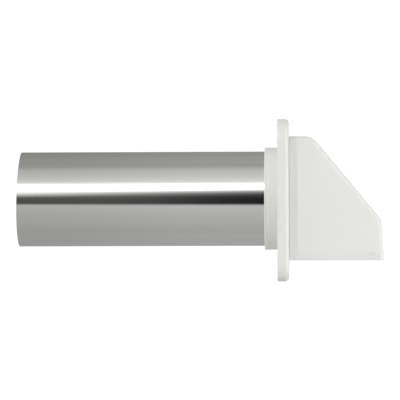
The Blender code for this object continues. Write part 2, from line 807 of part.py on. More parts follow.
def make_hinge_pin(parts, material):
    x, z = PIN_CENTRE.x, PIN_CENTRE.z
    span = [((x, -PIN_HALF, z), (x, PIN_HALF, z))]
    mesh = rods("hinge_pin", PIN_RADIUS, span)
    round_edges(mesh, PIN_RADIUS / 4, 1, lambda place: True)
    add_part("hinge_pin", mesh, parts, material)


def make_pin_clips(parts, tools, material):
    """An open spring clip outside each ear."""
    x, z = PIN_CENTRE.x, PIN_CENTRE.z
    for name, side in (("pin_clip_left", -1), ("pin_clip_right", 1)):
        start, end = EAR_OUTER + GAP, EAR_OUTER + GAP + CLIP_THICKNESS
        disc = rods(name, CLIP_RADIUS, [((x, side * start, z), (x, side * end, z))])
        clip = add_part(name, disc, parts, material)
        near, far = sorted((side * (start - PAST), side * (end + PAST)))
        hole = rods(f"{name}_hole", PIN_RADIUS + GAP, [((x, near, z), (x, far, z))])
        half = CLIP_SLOT / 2
        mouth = boxes(f"{name}_mouth", [((x - half, near, z - PAST), (x + half, far, z))])
        for mesh in (hole, mouth):
            combine(clip, add_tool(mesh, tools), "DIFFERENCE")


# ---- bird guard ----


def guard_cells():
    """The openings of the grid, as boxes that run right through it."""
    low_x, high_x = GUARD_BACK + GUARD_RAIL, GUARD_FRONT - GUARD_RAIL
    low_y, high_y = GUARD_RAIL - GUARD_HALF, GUARD_HALF - GUARD_RAIL
    pitch_x = (high_x - low_x + GUARD_BAR) / GUARD_CELLS[0]
    pitch_y = (high_y - low_y + GUARD_BAR) / GUARD_CELLS[1]
    cells = []
    for row in range(GUARD_CELLS[0]):
        for column in range(GUARD_CELLS[1]):
            x, y = low_x + row * pitch_x, low_y + column * pitch_y
            far = (x + pitch_x - GUARD_BAR, y + pitch_y - GUARD_BAR, GUARD_TOP + PAST)
            cells.append(((x, y, GUARD_BOTTOM - PAST), far))
    return cells


def make_bird_guard(parts, tools, material, axis):
    low, high = (GUARD_BACK, -GUARD_HALF), (GUARD_FRONT, GUARD_HALF)
    outline = rounded_box_outline(low, high, HOOD_EDGE - HOOD_WALL)
    mesh = slab("bird_guard", [outline], GUARD_BOTTOM, GUARD_TOP)
    guard = add_part("bird_guard", mesh, parts, material)
    combine(guard, add_tool(boxes("guard_cells", guard_cells()), tools), "DIFFERENCE")
    inner = GUARD_HALF - GUARD_RAIL / 2
    pins = [
        ((PIVOT_X, side * inner, PIVOT_Z), (PIVOT_X, side * PIVOT_END, PIVOT_Z))
        for side in (-1, 1)
    ]
    tongue_x = GUARD_BACK + GAP
    tongues = [
        (
            (tongue_x, y - TONGUE_HALF, GUARD_TOP - GUARD_BAR),
            (tongue_x + TONGUE_THICKNESS, y + TONGUE_HALF, TONGUE_TOP),
        )
        for y in (-TONGUE_Y, TONGUE_Y)
    ]
    pull = [
        (
            (GUARD_BACK + GAP, -PULL_HALF, GUARD_BOTTOM - PULL_DROP),
            (GUARD_BACK + GUARD_RAIL / 2, PULL_HALF, GUARD_TOP - GUARD_BAR),
        )
    ]
    for mesh in (
        rods("guard_pins", PIVOT_RADIUS, pins),
        boxes("guard_tongues", tongues),
        boxes("guard_pull", pull),
    ):
        combine(guard, add_tool(mesh, tools), "UNION")
    hang_on(guard, axis)


def main():
    clear_scene()
    parts = new_collection("wall_exhaust_vent")
    tools = new_collection("cutters")
    metal = new_material("brushed_aluminium", (0.62, 0.62, 0.61), 0.32, 1.0)
    white = new_material("white_plastic", (0.86, 0.86, 0.85), 0.35)
    steel = new_material("steel", (0.55, 0.55, 0.54), 0.3, 1.0)
    foam = new_material("seal_foam", (0.16, 0.16, 0.16), 0.9)

    damper_axis = add_axis("damper_hinge_axis", PIN_CENTRE, parts)
    guard_axis = add_axis("guard_hinge_axis", (PIVOT_X, 0, PIVOT_Z), parts)
    make_tail_pipe(parts, tools, metal)
    make_wall_plate(parts, tools, white)
    make_pipe_collar(parts, tools, white)
    make_hood_shell(parts, tools, white)
    make_hood_screws(parts, tools, steel)
    make_damper_flap(parts, tools, white, damper_axis)
    make_damper_seal(parts, foam, damper_axis)
    make_hinge_pin(parts, steel)
    make_pin_clips(parts, tools, steel)
    make_bird_guard(parts, tools, white, guard_axis)


main()
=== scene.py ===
"""Looks of a wall exhaust vent: a rolled metal pipe, a moulded collar, wall plate and hood, and
inside the hood a hinged damper and a swing-down bird guard.

Frame, as in the CAD: +X runs out of the wall along the duct, +Z is up, the duct's axis is
Y = Z = 0, and the wall is the plane X = 0. Units are metres.
"""

import math

import bmesh
import bpy
from mathutils import Matrix, Vector


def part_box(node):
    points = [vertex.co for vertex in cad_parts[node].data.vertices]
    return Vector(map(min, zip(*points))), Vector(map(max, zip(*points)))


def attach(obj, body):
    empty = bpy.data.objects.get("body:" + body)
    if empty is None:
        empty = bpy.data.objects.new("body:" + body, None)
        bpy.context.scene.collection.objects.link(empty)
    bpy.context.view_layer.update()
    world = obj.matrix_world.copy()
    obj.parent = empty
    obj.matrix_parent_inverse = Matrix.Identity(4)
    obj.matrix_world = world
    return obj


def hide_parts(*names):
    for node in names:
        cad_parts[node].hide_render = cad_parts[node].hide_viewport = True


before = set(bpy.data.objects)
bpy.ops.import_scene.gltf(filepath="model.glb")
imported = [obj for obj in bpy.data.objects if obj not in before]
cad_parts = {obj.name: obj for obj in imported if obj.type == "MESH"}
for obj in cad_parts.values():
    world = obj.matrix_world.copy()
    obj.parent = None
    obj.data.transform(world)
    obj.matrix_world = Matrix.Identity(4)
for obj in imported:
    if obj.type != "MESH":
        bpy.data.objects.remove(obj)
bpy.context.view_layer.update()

MM = 0.001
GAP = 0.3 * MM  # clearance between pieces that touch
PAST = 10 * MM  # how far a cutter runs past the face that it cuts through
ROUND_SIDES = 192
SMALL_SIDES = 40
ARC_STEPS = 14
EDGE_STEPS = 8
SMALL_EDGE_STEPS = 4
SHARP_ANGLE = math.radians(35)
BEVEL_ANGLE = math.radians(40)
BEVEL_SEGMENTS = 2

# Tail pipe
PIPE_LOW, PIPE_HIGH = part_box("tail_pipe")
PIPE_RADIUS = PIPE_HIGH.z
PIPE_SHEET = 0.4 * MM
PIPE_END_SKEW = math.radians(1.4)  # the free end is cut slightly out of square
PIPE_FREE_END = PIPE_LOW.x + PIPE_RADIUS * math.tan(PIPE_END_SKEW)
SEAM_ANGLE = math.radians(-35)  # from +Y towards +Z
SEAM_WIDTH = 6 * MM
SEAM_LAYER = 0.55 * MM
SEAM_BEND = 0.5 * MM
# The seam's two hooks: (share of its width, layer inwards, bend radius) along the sheet
SEAM_UNDER = (
    (0.85, 1, 0),
    (0.08, 1, SEAM_BEND),
    (0.08, 3, SEAM_BEND),
    (1.0, 3, SEAM_BEND),
    (1.2, 0, SEAM_BEND),
    (1.5, 0, 0),
)
SEAM_OVER = ((-1, 0, 0), (0.92, 0, SEAM_BEND), (0.92, 2, SEAM_BEND), (0.15, 2, 0))
SEAM_PAST = 1.3  # share of the seam's width after which the sheet is plain round
PIPE_RINGS = 24

# Wall plate
PLATE_LOW, PLATE_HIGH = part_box("wall_plate")
PLATE_HALF = PLATE_HIGH.y
PLATE_CENTRE_Z = (PLATE_LOW.z + PLATE_HIGH.z) / 2
PLATE_FRONT = PLATE_HIGH.x
PLATE_CORNER = 23 * MM
PLATE_EDGE = 4.5 * MM
PLATE_WALL = 2.6 * MM
PLATE_BACK_EDGE = 0.4 * MM
PLATE_RING_WALL = 2.6 * MM
PLATE_RING_BACK = 2 * MM
PLATE_HOLE_GAP = 0.36 * MM
PLATE_RIB = 1.6 * MM
PLATE_RIB_BACK = 4 * MM
WALL_SCREW_OFFSET = 71.5 * MM
WALL_SCREW_RADIUS = 2.5 * MM
WALL_SEAT_RADIUS = 4.75 * MM
WALL_SEAT_DEPTH = 3 * MM
WALL_BOSS_RADIUS = 5.6 * MM

# Pipe collar
COLLAR_LOW, COLLAR_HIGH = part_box("pipe_collar")
COLLAR_RADIUS = 54.85 * MM
COLLAR_END = COLLAR_LOW.x
COLLAR_END_EDGE = 0.5 * MM
COLLAR_BEADS = (-12.6 * MM, -9.0 * MM)
BEAD_HALF = 0.8 * MM
BEAD_HEIGHT = 0.2 * MM
SOCKET_RADIUS = 52.3 * MM
SOCKET_LEAD = 1.2 * MM
CRUSH_RIBS = 12
CRUSH_RIB_WIDTH = 1.6 * MM
BORE_RADIUS = 50 * MM
LEDGE_X = PIPE_HIGH.x + GAP
FLANGE_BACK = PLATE_FRONT + GAP
FLANGE_FRONT = FLANGE_BACK + 2.4 * MM
FLANGE_CORNER = 3 * MM
SEAT_RADIUS = 53.5 * MM
SEAT_CENTRE_X = 20 * MM
SEAT_TILT = math.radians(5)
SEAT_TRIM_TOP = 54.5 * MM

# Hood
HOOD_LOW, HOOD_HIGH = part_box("hood_shell")
HOOD_BACK = HOOD_LOW.x
HOOD_TOP = HOOD_HIGH.z
HOOD_BOTTOM = HOOD_LOW.z
LIP_PROUD = 1.2 * MM
HOOD_HALF = HOOD_HIGH.y - LIP_PROUD
HOOD_WALL = 2.4 * MM
HOOD_EDGE = 5 * MM
BROW_X = 36.7 * MM
BROW_RADIUS = 17 * MM
CHIN_RADIUS = 23 * MM
SLOPE = math.radians(50.5)
FRONT_X = HOOD_HIGH.x - LIP_PROUD
FRONT_DRAFT = math.radians(1.5)
LIP_TOP = -54.9 * MM
LIP_SIDE_PROUD = 0.4 * MM
LIP_SIDE_TURN_IN = 1.7 * MM  # how far the lip's sides and its front turn in at its foot
LIP_FRONT_TURN_IN = 0.3 * MM
LIP_SHOULDER = 0.5 * MM
LIP_FOOT_EDGE = 0.3 * MM
BOSS_RADIUS = 4 * MM
BOSS_Y = 57.5 * MM
BOSS_HEIGHTS = (50 * MM, -48 * MM)
BOSS_END = 27.5 * MM
BOSS_WEB = 2.4 * MM

# Hood screws
SCREW_RADIUS = 1.55 * MM
SCREW_CORE = 1.15 * MM
SCREW_PITCH = 1.1 * MM
SCREW_HOLE_GAP = 0.45 * MM
SCREW_HEAD_RADIUS = 3.5 * MM
SCREW_HEAD_HEIGHT = 2.3 * MM
SCREW_LENGTH = 15.5 * MM
SCREW_TIP = 3 * MM
SCREW_TIP_BEND = 0.7  # power of the tip's taper
SCREW_TIP_BLUNT = 0.12  # share of the radius that the tip keeps at its end
SCREW_CROWN = 1.2 * MM
SCREW_CROWN_SWEEP = math.radians(84)
SCREW_HEAD_LAP = 0.1 * MM  # how far the head runs over the shank's start
SCREW_TURN_FIRST = 31  # degrees that the first screw's recess is turned by
SCREW_TURN_STEP = 47  # and how much further each next one is turned
THREAD_ROWS = 8  # rings of points in one turn of the thread
THREAD_STEEP = 4  # the higher, the narrower the thread's crest
RECESS_ARM = 3.6 * MM
RECESS_WIDTH = 0.9 * MM
RECESS_DEPTH = 1.3 * MM
HEAD_SEAT_X = PLATE_FRONT - PLATE_WALL - GAP

# Damper
PIN_ABOVE = 58.3 * MM
PIN_AHEAD = 4.7 * MM
PIN_RADIUS = 1.25 * MM
PIN_HALF = 54.5 * MM
PIN_HOLE_RADIUS = 1.6 * MM
EAR_INNER = 49.3 * MM
EAR_OUTER = 52.2 * MM
EAR_RADIUS = 3.1 * MM
CLIP_RADIUS = 3.3 * MM
CLIP_THICKNESS = 0.7 * MM
CLIP_SLOT = 1.9 * MM
SEAL_INNER = 49.6 * MM
SEAL_OUTER = 53.6 * MM
SEAL_THICKNESS = 1.5 * MM
SEAL_EDGE = 0.4 * MM
FLAP_RADIUS = 54 * MM
FLAP_SHOULDER = 47 * MM
FLAP_TOP = 54.5 * MM
FLAP_THICKNESS = 1.6 * MM
FLAP_RIM = 1.8 * MM
FLAP_RIB = 1.6 * MM
FLAP_RIB_HEIGHT = 2.4 * MM
FLAP_STEP = 0.2 * MM  # between surfaces of the flap that would otherwise be flush
FLAP_RIB_OFFSET = 18 * MM
FLAP_EDGE_STEPS = 3
KNUCKLE_RADIUS = 2.75 * MM
KNUCKLE_SPAN = (32 * MM, 48.6 * MM)
KNUCKLE_ROOT = 4 * MM

# Bird guard
GUARD_LOW, GUARD_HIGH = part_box("bird_guard")
PIVOT_X = 99.3 * MM
PIVOT_Z = -60.4 * MM
PIVOT_RADIUS = 3.14 * MM
PIVOT_HOLE_RADIUS = 3.2 * MM
PIVOT_END = GUARD_HIGH.y - 0.8 * MM
PIVOT_DOME = 0.3 * MM
PIVOT_SWEEP = math.radians(80)
GUARD_BACK = GUARD_LOW.x
GUARD_FRONT = GUARD_HIGH.x
GUARD_HALF = 61.2 * MM
GUARD_BOTTOM = -62.8 * MM
GUARD_TOP = -58.8 * MM
GUARD_CORNER = 2.6 * MM
GUARD_CORNER_STEPS = 6
GUARD_RAIL = 4 * MM
GUARD_BAR = 1.6 * MM
GUARD_CELLS = (6, 8)  # along X and along Y
GUARD_EDGE = 0.3 * MM
TONGUE_Y = 30 * MM
TONGUE_HALF = 4 * MM
TONGUE_THICKNESS = 1.4 * MM
TONGUE_TOP = GUARD_HIGH.z
PULL_HALF = 10 * MM
PULL_DROP = 1.9 * MM

# Camera and stage
VIEW_LENS = 245.7  # millimetres, on a 36 mm sensor
VIEW_SENSOR = 36
VIEW_DISTANCE = 2.943
VIEW_AZIMUTH = math.radians(2.1)
VIEW_ELEVATION = math.radians(0.25)
VIEW_ROLL = math.radians(-0.2)
VIEW_AIM = Vector((-83.9 * MM, 0, -1.2 * MM))
VIEW_REACH = 100
FLOOR_Z = -0.35
FLOOR_RADIUS = 4.0
FLOOR_SIDES = 96
FLOOR_PLAIN = 0.35  # beyond this radius the floor fades into the white backdrop
FLOOR_FADED = 1.1
BACKDROP = 1.05  # brightness of the white that the camera sees behind the object
KEY_AZIMUTH = math.radians(-27)
KEY_ELEVATION = math.radians(28)
KEY_STRENGTH = 0.54
KEY_ANGLE = math.radians(2)

# Materials: streaks are per metre along X, Y and Z, paired values are (least, most)
NOISE_SPAN = (0.3, 0.7)  # the part of a noise that is spread over a material's range
FINE_STREAKS = (4, 1900, 1900)
BROAD_STREAKS = (2.5, 260, 260)
FINE_SHARE = 0.4
BROAD_SHARE = 0.6
ALUMINIUM_TINTS = ((0.87, 0.87, 0.865), (0.95, 0.95, 0.945))
ALUMINIUM_ROUGH = (0.05, 0.09)
PATCHES_SPAN = (0.35, 0.7)
PATCHES_ROUGH = (0, 0.02)
INSIDE_ROUGH = 0.3  # how much rougher the pipe is inside
# The plate's white is a darker copy of the moulding's white, a painted shade, and the collar's
# white is a lighter copy, a painted light
MOULDING_TONE = 0.828
PLATE_TONE_PAINTED_SHADE = 0.802
COLLAR_TONE_PAINTED_LIGHT = 0.9
TONE_CHANGE = 0.014
TONE_WARMTH = 0.004  # how much less blue there is in the white
PLASTIC_ROUGH = (0.33, 0.43)
PLASTIC_IOR = 1.49
ZINC_TINTS = ((0.6, 0.61, 0.63), (0.74, 0.74, 0.74))
ZINC_ROUGH = (0.22, 0.42)
FOAM_TINTS = ((0.02, 0.02, 0.021), (0.05, 0.05, 0.05))
FOAM_ROUGH = (0.82, 0.98)
FLOOR_TINTS = ((0.9, 0.9, 0.9), (0.93, 0.93, 0.93))
FLOOR_ROUGH = 0.9

# Rotations that stand a shape drawn in X and Y up in the object's frame
FACING_X = Matrix(((0, 0, 1), (1, 0, 0), (0, 1, 0))).to_4x4()
FACING_Y = Matrix(((1, 0, 0), (0, 0, -1), (0, 1, 0))).to_4x4()

UP_THE_SEAT = Vector((-math.sin(SEAT_TILT), 0, math.cos(SEAT_TILT)))
OFF_THE_SEAT = Vector((math.cos(SEAT_TILT), 0, math.sin(SEAT_TILT)))
PIN_CENTRE = (
    Vector((SEAT_CENTRE_X, 0, 0)) + UP_THE_SEAT * PIN_ABOVE + OFF_THE_SEAT * PIN_AHEAD
)
SCREW_PLACES = [(side * BOSS_Y, height) for height in BOSS_HEIGHTS for side in (-1, 1)]
WALL_SCREW_PLACES = [
    (y, PLATE_CENTRE_Z + z)
    for z in (-WALL_SCREW_OFFSET, WALL_SCREW_OFFSET)
    for y in (-WALL_SCREW_OFFSET, WALL_SCREW_OFFSET)
]


# ---- meshes ----


def finished_mesh(shape, name):
    bmesh.ops.recalc_face_normals(shape, faces=shape.faces)
    mesh = bpy.data.meshes.new(name)
    shape.to_mesh(mesh)
    shape.free()
    mesh.shade_smooth()
    mesh.set_sharp_from_angle(angle=SHARP_ANGLE)
    return mesh


def boxes(name, spans):
    """Boxes given as (low corner, high corner) pairs, as one mesh."""
    shape = bmesh.new()
    for low, high in spans:
        low = Vector(low)
        size = Vector(high) - low
        place = Matrix.Translation(low + size / 2) @ Matrix.Diagonal((*size, 1))
        bmesh.ops.create_cube(shape, size=1, matrix=place)
    return finished_mesh(shape, name)


def rods(name, radius, spans):
    """Cylinders given as (start point, end point) pairs, as one mesh."""
    shape = bmesh.new()
    for start, end in spans:
        start, end = Vector(start), Vector(end)
        turn = (end - start).to_track_quat("Z", "Y").to_matrix().to_4x4()
        bmesh.ops.create_cone(
            shape,
            cap_ends=True,
            segments=SMALL_SIDES,
            radius1=radius,
            radius2=radius,
            depth=(end - start).length,
            matrix=Matrix.Translation((start + end) / 2) @ turn,
        )
    return finished_mesh(shape, name)


def along_x(start, end, places):
    """Spans from one X to another through each (y, z) place."""
    return [((start, y, z), (end, y, z)) for y, z in places]


def rounded_line(corners, closed, arc_steps=ARC_STEPS):
    """Points along (x, y, radius) corners, with an arc at each corner that has a radius."""
    points = []
    last = len(corners) - 1
    for index, (x, y, radius) in enumerate(corners):
        corner = Vector((x, y))
        if radius <= 0 or (not closed and index in (0, last)):
            points.append(corner)
            continue
        back = (Vector(corners[index - 1][:2]) - corner).normalized()
        ahead = (Vector(corners[(index + 1) % len(corners)][:2]) - corner).normalized()
        half_angle = back.angle(ahead) / 2
        centre = corner + (back + ahead).normalized() * radius / math.sin(half_angle)
        arm = corner + back * radius / math.tan(half_angle) - centre
        turn = (math.pi - 2 * half_angle) * (1 if back.cross(ahead) < 0 else -1)
        for step in range(arc_steps + 1):
            points.append(centre + Matrix.Rotation(turn * step / arc_steps, 2) @ arm)
    return points


def rounded_box(low, high, radius, arc_steps=ARC_STEPS):
    corners = [(low[0], low[1]), (high[0], low[1]), (high[0], high[1]), (low[0], high[1])]
    return rounded_line([(x, y, radius) for x, y in corners], True, arc_steps)


def circle(radius, sides=ROUND_SIDES):
    angles = [math.tau * step / sides for step in range(sides)]
    return [Vector((radius * math.cos(angle), radius * math.sin(angle))) for angle in angles]


def stack(name, rings, stand=Matrix()):
    """A closed body through (outline, height) rings that all have the same number of points."""
    shape = bmesh.new()
    loops = [
        [shape.verts.new(stand @ Vector((point[0], point[1], height))) for point in outline]
        for outline, height in rings
    ]
    for lower, upper in zip(loops, loops[1:]):
        for index, corner in enumerate(lower):
            shape.faces.new((lower[index - 1], corner, upper[index], upper[index - 1]))
    shape.faces.new(reversed(loops[0]))
    shape.faces.new(loops[-1])
    return finished_mesh(shape, name)


def slab(name, outline, low, high, stand=Matrix()):
    return stack(name, [(outline, low), (outline, high)], stand)


def turned(name, profile, stand):
    """A closed profile of (radius, height) points, turned about its own Z."""
    shape = bmesh.new()
    loops = []
    for step in range(ROUND_SIDES):
        turn = stand @ Matrix.Rotation(math.tau * step / ROUND_SIDES, 4, "Z")
        loops.append([shape.verts.new(turn @ Vector((r, 0, z))) for r, z in profile])
    for step, ahead in enumerate(loops):
        behind = loops[step - 1]
        for index in range(len(profile)):
            corners = (behind[index - 1], behind[index], ahead[index], ahead[index - 1])
            shape.faces.new(corners)
    return finished_mesh(shape, name)


def edge_levels(low, high, edge_low, edge_high, steps=EDGE_STEPS):
    """(inset, height) pairs up a wall whose foot and top are rounded by those radii."""
    levels = []
    for step in range(steps + 1):
        turn = math.pi / 2 * step / steps
        rise = (edge_low * (1 - math.sin(turn)), low + edge_low * (1 - math.cos(turn)))
        levels.append(rise)
    for step in range(steps + 1):
        turn = math.pi / 2 * step / steps
        top = (edge_high * (1 - math.cos(turn)), high - edge_high * (1 - math.sin(turn)))
        levels.append(top)
    return levels


def make_object(mesh, name=None):
    piece = bpy.data.objects.new(name or mesh.name, mesh)
    bpy.context.scene.collection.objects.link(piece)
    return piece


def settle(piece):
    """Applies an object's modifiers to its mesh."""
    evaluated = piece.evaluated_get(bpy.context.evaluated_depsgraph_get())
    mesh = bpy.data.meshes.new_from_object(evaluated)
    piece.modifiers.clear()
    piece.data = mesh
    mesh.shade_smooth()
    mesh.set_sharp_from_angle(angle=SHARP_ANGLE)


def combine(piece, meshes, operation, solver="EXACT"):
    """Joins meshes to a piece or cuts them out of it, one after another."""
    for mesh in meshes:
        tool = make_object(mesh)
        step = piece.modifiers.new(mesh.name, "BOOLEAN")
        step.operation = operation
        step.solver = solver
        step.object = tool
        settle(piece)
        bpy.data.objects.remove(tool)


def bevel(piece, width):
    step = piece.modifiers.new("edges", "BEVEL")
    step.width = width
    step.segments = BEVEL_SEGMENTS
    step.limit_method = "ANGLE"
    step.angle_limit = BEVEL_ANGLE
    settle(piece)


def dress(piece, material, body, node):
    """Gives a piece its material and body, in place of a CAD node."""
    piece.data.materials.clear()
    piece.data.materials.append(material)
    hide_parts(node)
    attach(piece, body)


# ---- materials ----


class Nodes:
    """A material's or world's node tree, with short ways to add and link its nodes."""

    def __init__(self, tree):
        self.tree = tree

    def add(self, kind, **settings):
        node = self.tree.nodes.new(kind)
        for name, value in settings.items():
            setattr(node, name, value)
        return node

    def feed(self, socket, value):
        if isinstance(value, bpy.types.NodeSocket):
            self.tree.links.new(value, socket)
        else:
            socket.default_value = value

    def math(self, operation, first, second=0.0):
        node = self.add("ShaderNodeMath", operation=operation)
        self.feed(node.inputs[0], first)
        self.feed(node.inputs[1], second)
        return node.outputs[0]

    def spread(self, value, low, high, to_low, to_high):
        """Maps a value from one range to another, clamped."""
        node = self.add("ShaderNodeMapRange")
        for socket, given in zip(node.inputs, (value, low, high, to_low, to_high)):
            self.feed(socket, given)
        return node.outputs[0]

    def blend(self, factor, first, second):
        node = self.add("ShaderNodeMix", data_type="FLOAT")
        for index, given in ((0, factor), (2, first), (3, second)):
            self.feed(node.inputs[index], given)
        return node.outputs[0]

    def parts(self, kind):
        """The X, Y and Z of a texture coordinate."""
        source = self.add("ShaderNodeTexCoord")
        split = self.add("ShaderNodeSeparateXYZ")
        self.feed(split.inputs[0], source.outputs[kind])
        return split.outputs

    def place(self, scale):
        """The piece's own coordinates in metres, stretched by a scale for each axis."""
        source = self.add("ShaderNodeTexCoord")
        mapping = self.add("ShaderNodeMapping")
        self.feed(mapping.inputs["Vector"], source.outputs["Object"])
        self.feed(mapping.inputs["Scale"], scale)
        return mapping.outputs[0]

    def noise(self, scale, detail=3.0, roughness=0.5, stretch=(1, 1, 1)):
        node = self.add("ShaderNodeTexNoise")
        self.feed(node.inputs["Vector"], self.place(stretch))
        self.feed(node.inputs["Scale"], scale)
        self.feed(node.inputs["Detail"], detail)
        self.feed(node.inputs["Roughness"], roughness)
        return node.outputs[0]

    def cells(self, scale):
        node = self.add("ShaderNodeTexVoronoi")
        self.feed(node.inputs["Vector"], self.place((1, 1, 1)))
        self.feed(node.inputs["Scale"], scale)
        return node.outputs["Distance"]

    def tint(self, factor, low, high):
        """Blends two colours, through the sockets of a mix node that take colours."""
        node = self.add("ShaderNodeMix", data_type="RGBA")
        self.feed(node.inputs["Factor"], factor)
        self.feed(node.inputs[6], (*low, 1))
        self.feed(node.inputs[7], (*high, 1))
        return node.outputs[2]

    def bump(self, height, strength, distance, normal=None):
        node = self.add("ShaderNodeBump")
        self.feed(node.inputs["Height"], height)
        self.feed(node.inputs["Strength"], strength)
        self.feed(node.inputs["Distance"], distance)
        if normal is not None:
            self.feed(node.inputs["Normal"], normal)
        return node.outputs[0]


def new_material(name):
    material = bpy.data.materials.new(name)
    material.use_nodes = True
    nodes = Nodes(material.node_tree)
    return material, nodes, material.node_tree.nodes["Principled BSDF"].inputs


def aluminium():
    """Bright rolled sheet, with the rolling's fine streaks running along the pipe."""
    material, nodes, shader = new_material("rolled_aluminium")
    fine = nodes.noise(1.0, detail=2.0, roughness=0.6, stretch=FINE_STREAKS)
    broad = nodes.noise(1.0, detail=2.0, roughness=0.5, stretch=BROAD_STREAKS)
    patches = nodes.noise(14.0, detail=3.0, roughness=0.55)
    fine_part = nodes.math("MULTIPLY", fine, FINE_SHARE)
    broad_part = nodes.math("MULTIPLY", broad, BROAD_SHARE)
    streaks = nodes.math("ADD", fine_part, broad_part)
    shade = nodes.spread(streaks, *NOISE_SPAN, 0, 1)
    nodes.feed(shader["Base Color"], nodes.tint(shade, *ALUMINIUM_TINTS))
    _, y, z = nodes.parts("Object")
    squares = nodes.math("ADD", nodes.math("POWER", y, 2.0), nodes.math("POWER", z, 2.0))
    off_axis = nodes.math("SQRT", squares)
    inner, middle = PIPE_RADIUS - PIPE_SHEET, PIPE_RADIUS - PIPE_SHEET / 2
    inside = nodes.spread(off_axis, inner, middle, INSIDE_ROUGH, 0)
    streaked = nodes.spread(streaks, *NOISE_SPAN, *ALUMINIUM_ROUGH)
    patched = nodes.spread(patches, *PATCHES_SPAN, *PATCHES_ROUGH)
    rough = nodes.math("ADD", streaked, patched)
    nodes.feed(shader["Roughness"], nodes.math("ADD", rough, inside))
    shader["Metallic"].default_value = 1.0
    waves = nodes.bump(broad, strength=0.12, distance=0.02 * MM)
    relief = nodes.bump(fine, strength=0.1, distance=0.004 * MM, normal=waves)
    nodes.feed(shader["Normal"], relief)
    return material


def plastic(name, tone):
    """White moulded plastic with a fine satin grain and slow, faint changes of tone and gloss."""
    material, nodes, shader = new_material(name)
    tints = [(level, level, level - TONE_WARMTH) for level in (tone, tone + TONE_CHANGE)]
    slow = nodes.noise(22.0, detail=2.0, roughness=0.5)
    grain = nodes.noise(2600.0, detail=2.0, roughness=0.6)
    cloud = nodes.noise(150.0, detail=3.0, roughness=0.55)
    nodes.feed(shader["Base Color"], nodes.tint(nodes.spread(slow, *NOISE_SPAN, 0, 1), *tints))
    nodes.feed(shader["Roughness"], nodes.spread(cloud, *NOISE_SPAN, *PLASTIC_ROUGH))
    shader["IOR"].default_value = PLASTIC_IOR
    sinks = nodes.bump(slow, strength=0.15, distance=0.4 * MM)
    relief = nodes.bump(grain, strength=0.2, distance=0.01 * MM, normal=sinks)
    nodes.feed(shader["Normal"], relief)
    return material


def zinc():
    """Zinc-plated steel with a spangled, slightly bluish finish."""
    material, nodes, shader = new_material("zinc_plated_steel")
    scuffs = nodes.noise(700.0, detail=4.0, roughness=0.6)
    nodes.feed(shader["Base Color"], nodes.tint(nodes.cells(900.0), *ZINC_TINTS))
    nodes.feed(shader["Roughness"], nodes.spread(scuffs, *NOISE_SPAN, *ZINC_ROUGH))
    shader["Metallic"].default_value = 1.0
    nodes.feed(shader["Normal"], nodes.bump(scuffs, strength=0.25, distance=0.01 * MM))
    return material


def foam():
    """Dark closed-cell foam."""
    material, nodes, shader = new_material("closed_cell_foam")
    blotches = nodes.noise(300.0, detail=3.0, roughness=0.6)
    nodes.feed(shader["Base Color"], nodes.tint(blotches, *FOAM_TINTS))
    nodes.feed(shader["Roughness"], nodes.spread(blotches, *NOISE_SPAN, *FOAM_ROUGH))
    relief = nodes.bump(nodes.cells(1800.0), strength=0.6, distance=0.2 * MM)
    nodes.feed(shader["Normal"], relief)
    return material


# ---- tail pipe ----


def pipe_section():
    """The sheet's middle line in Y and Z, from one hooked edge round to the other."""
    middle = PIPE_RADIUS - PIPE_SHEET / 2
    start = SEAM_PAST * SEAM_WIDTH / middle
    end = math.tau - SEAM_WIDTH / middle
    line = []

    def roll(points, turns):
        for across, depth in points:
            angle = across / middle + turns + SEAM_ANGLE
            line.append(((middle - depth) * math.cos(angle), (middle - depth) * math.sin(angle)))

    def flat(hook):
        return [(part * SEAM_WIDTH, layer * SEAM_LAYER, bend) for part, layer, bend in hook]

    roll(rounded_line(flat(SEAM_UNDER), False)[:-1], 0)
    arc = [start + (end - start) * step / ROUND_SIDES for step in range(1, ROUND_SIDES)]
    roll([(angle * middle, 0) for angle in arc], 0)
    roll(rounded_line(flat(SEAM_OVER), False), math.tau)
    return line


def make_tail_pipe(material):
    """The rolled sheet, one loop of its section after another, thickened to both sides."""
    shape = bmesh.new()
    section = pipe_section()
    loops = []
    for ring in range(PIPE_RINGS + 1):
        share = ring / PIPE_RINGS
        loop = []
        for y, z in section:
            free = PIPE_FREE_END + z * math.tan(PIPE_END_SKEW)
            loop.append(shape.verts.new((free + (PIPE_HIGH.x - free) * share, y, z)))
        loops.append(loop)
    for lower, upper in zip(loops, loops[1:]):
        for index in range(len(lower) - 1):
            shape.faces.new((lower[index], lower[index + 1], upper[index + 1], upper[index]))
    pipe = make_object(finished_mesh(shape, "tail_pipe_sheet"))
    wall = pipe.modifiers.new("sheet", "SOLIDIFY")
    wall.thickness = PIPE_SHEET
    wall.offset = 0
    wall.use_even_offset = True
    settle(pipe)
    dress(pipe, material, "vent_body", "tail_pipe")


# ---- wall plate ----


def plate_outline(inset):
    half = PLATE_HALF - inset
    low = (-half, PLATE_CENTRE_Z - half)
    return rounded_box(low, (half, PLATE_CENTRE_Z + half), PLATE_CORNER - inset)


def plate_ribs(inside):
    """Four ribs from the ring round the centre hole to the middle of each side."""
    ring = COLLAR_RADIUS + GAP + PLATE_RING_WALL / 2
    edge = PLATE_HALF - PLATE_WALL / 2
    half = PLATE_RIB / 2
    back, front = PLATE_RIB_BACK, inside + PLATE_WALL / 2
    middle = PLATE_CENTRE_Z
    return [
        ((back, -half, ring), (front, half, middle + edge)),
        ((back, -half, middle - edge), (front, half, -ring)),
        ((back, ring, -half), (front, edge, half)),
        ((back, -edge, -half), (front, -ring, half)),
    ]


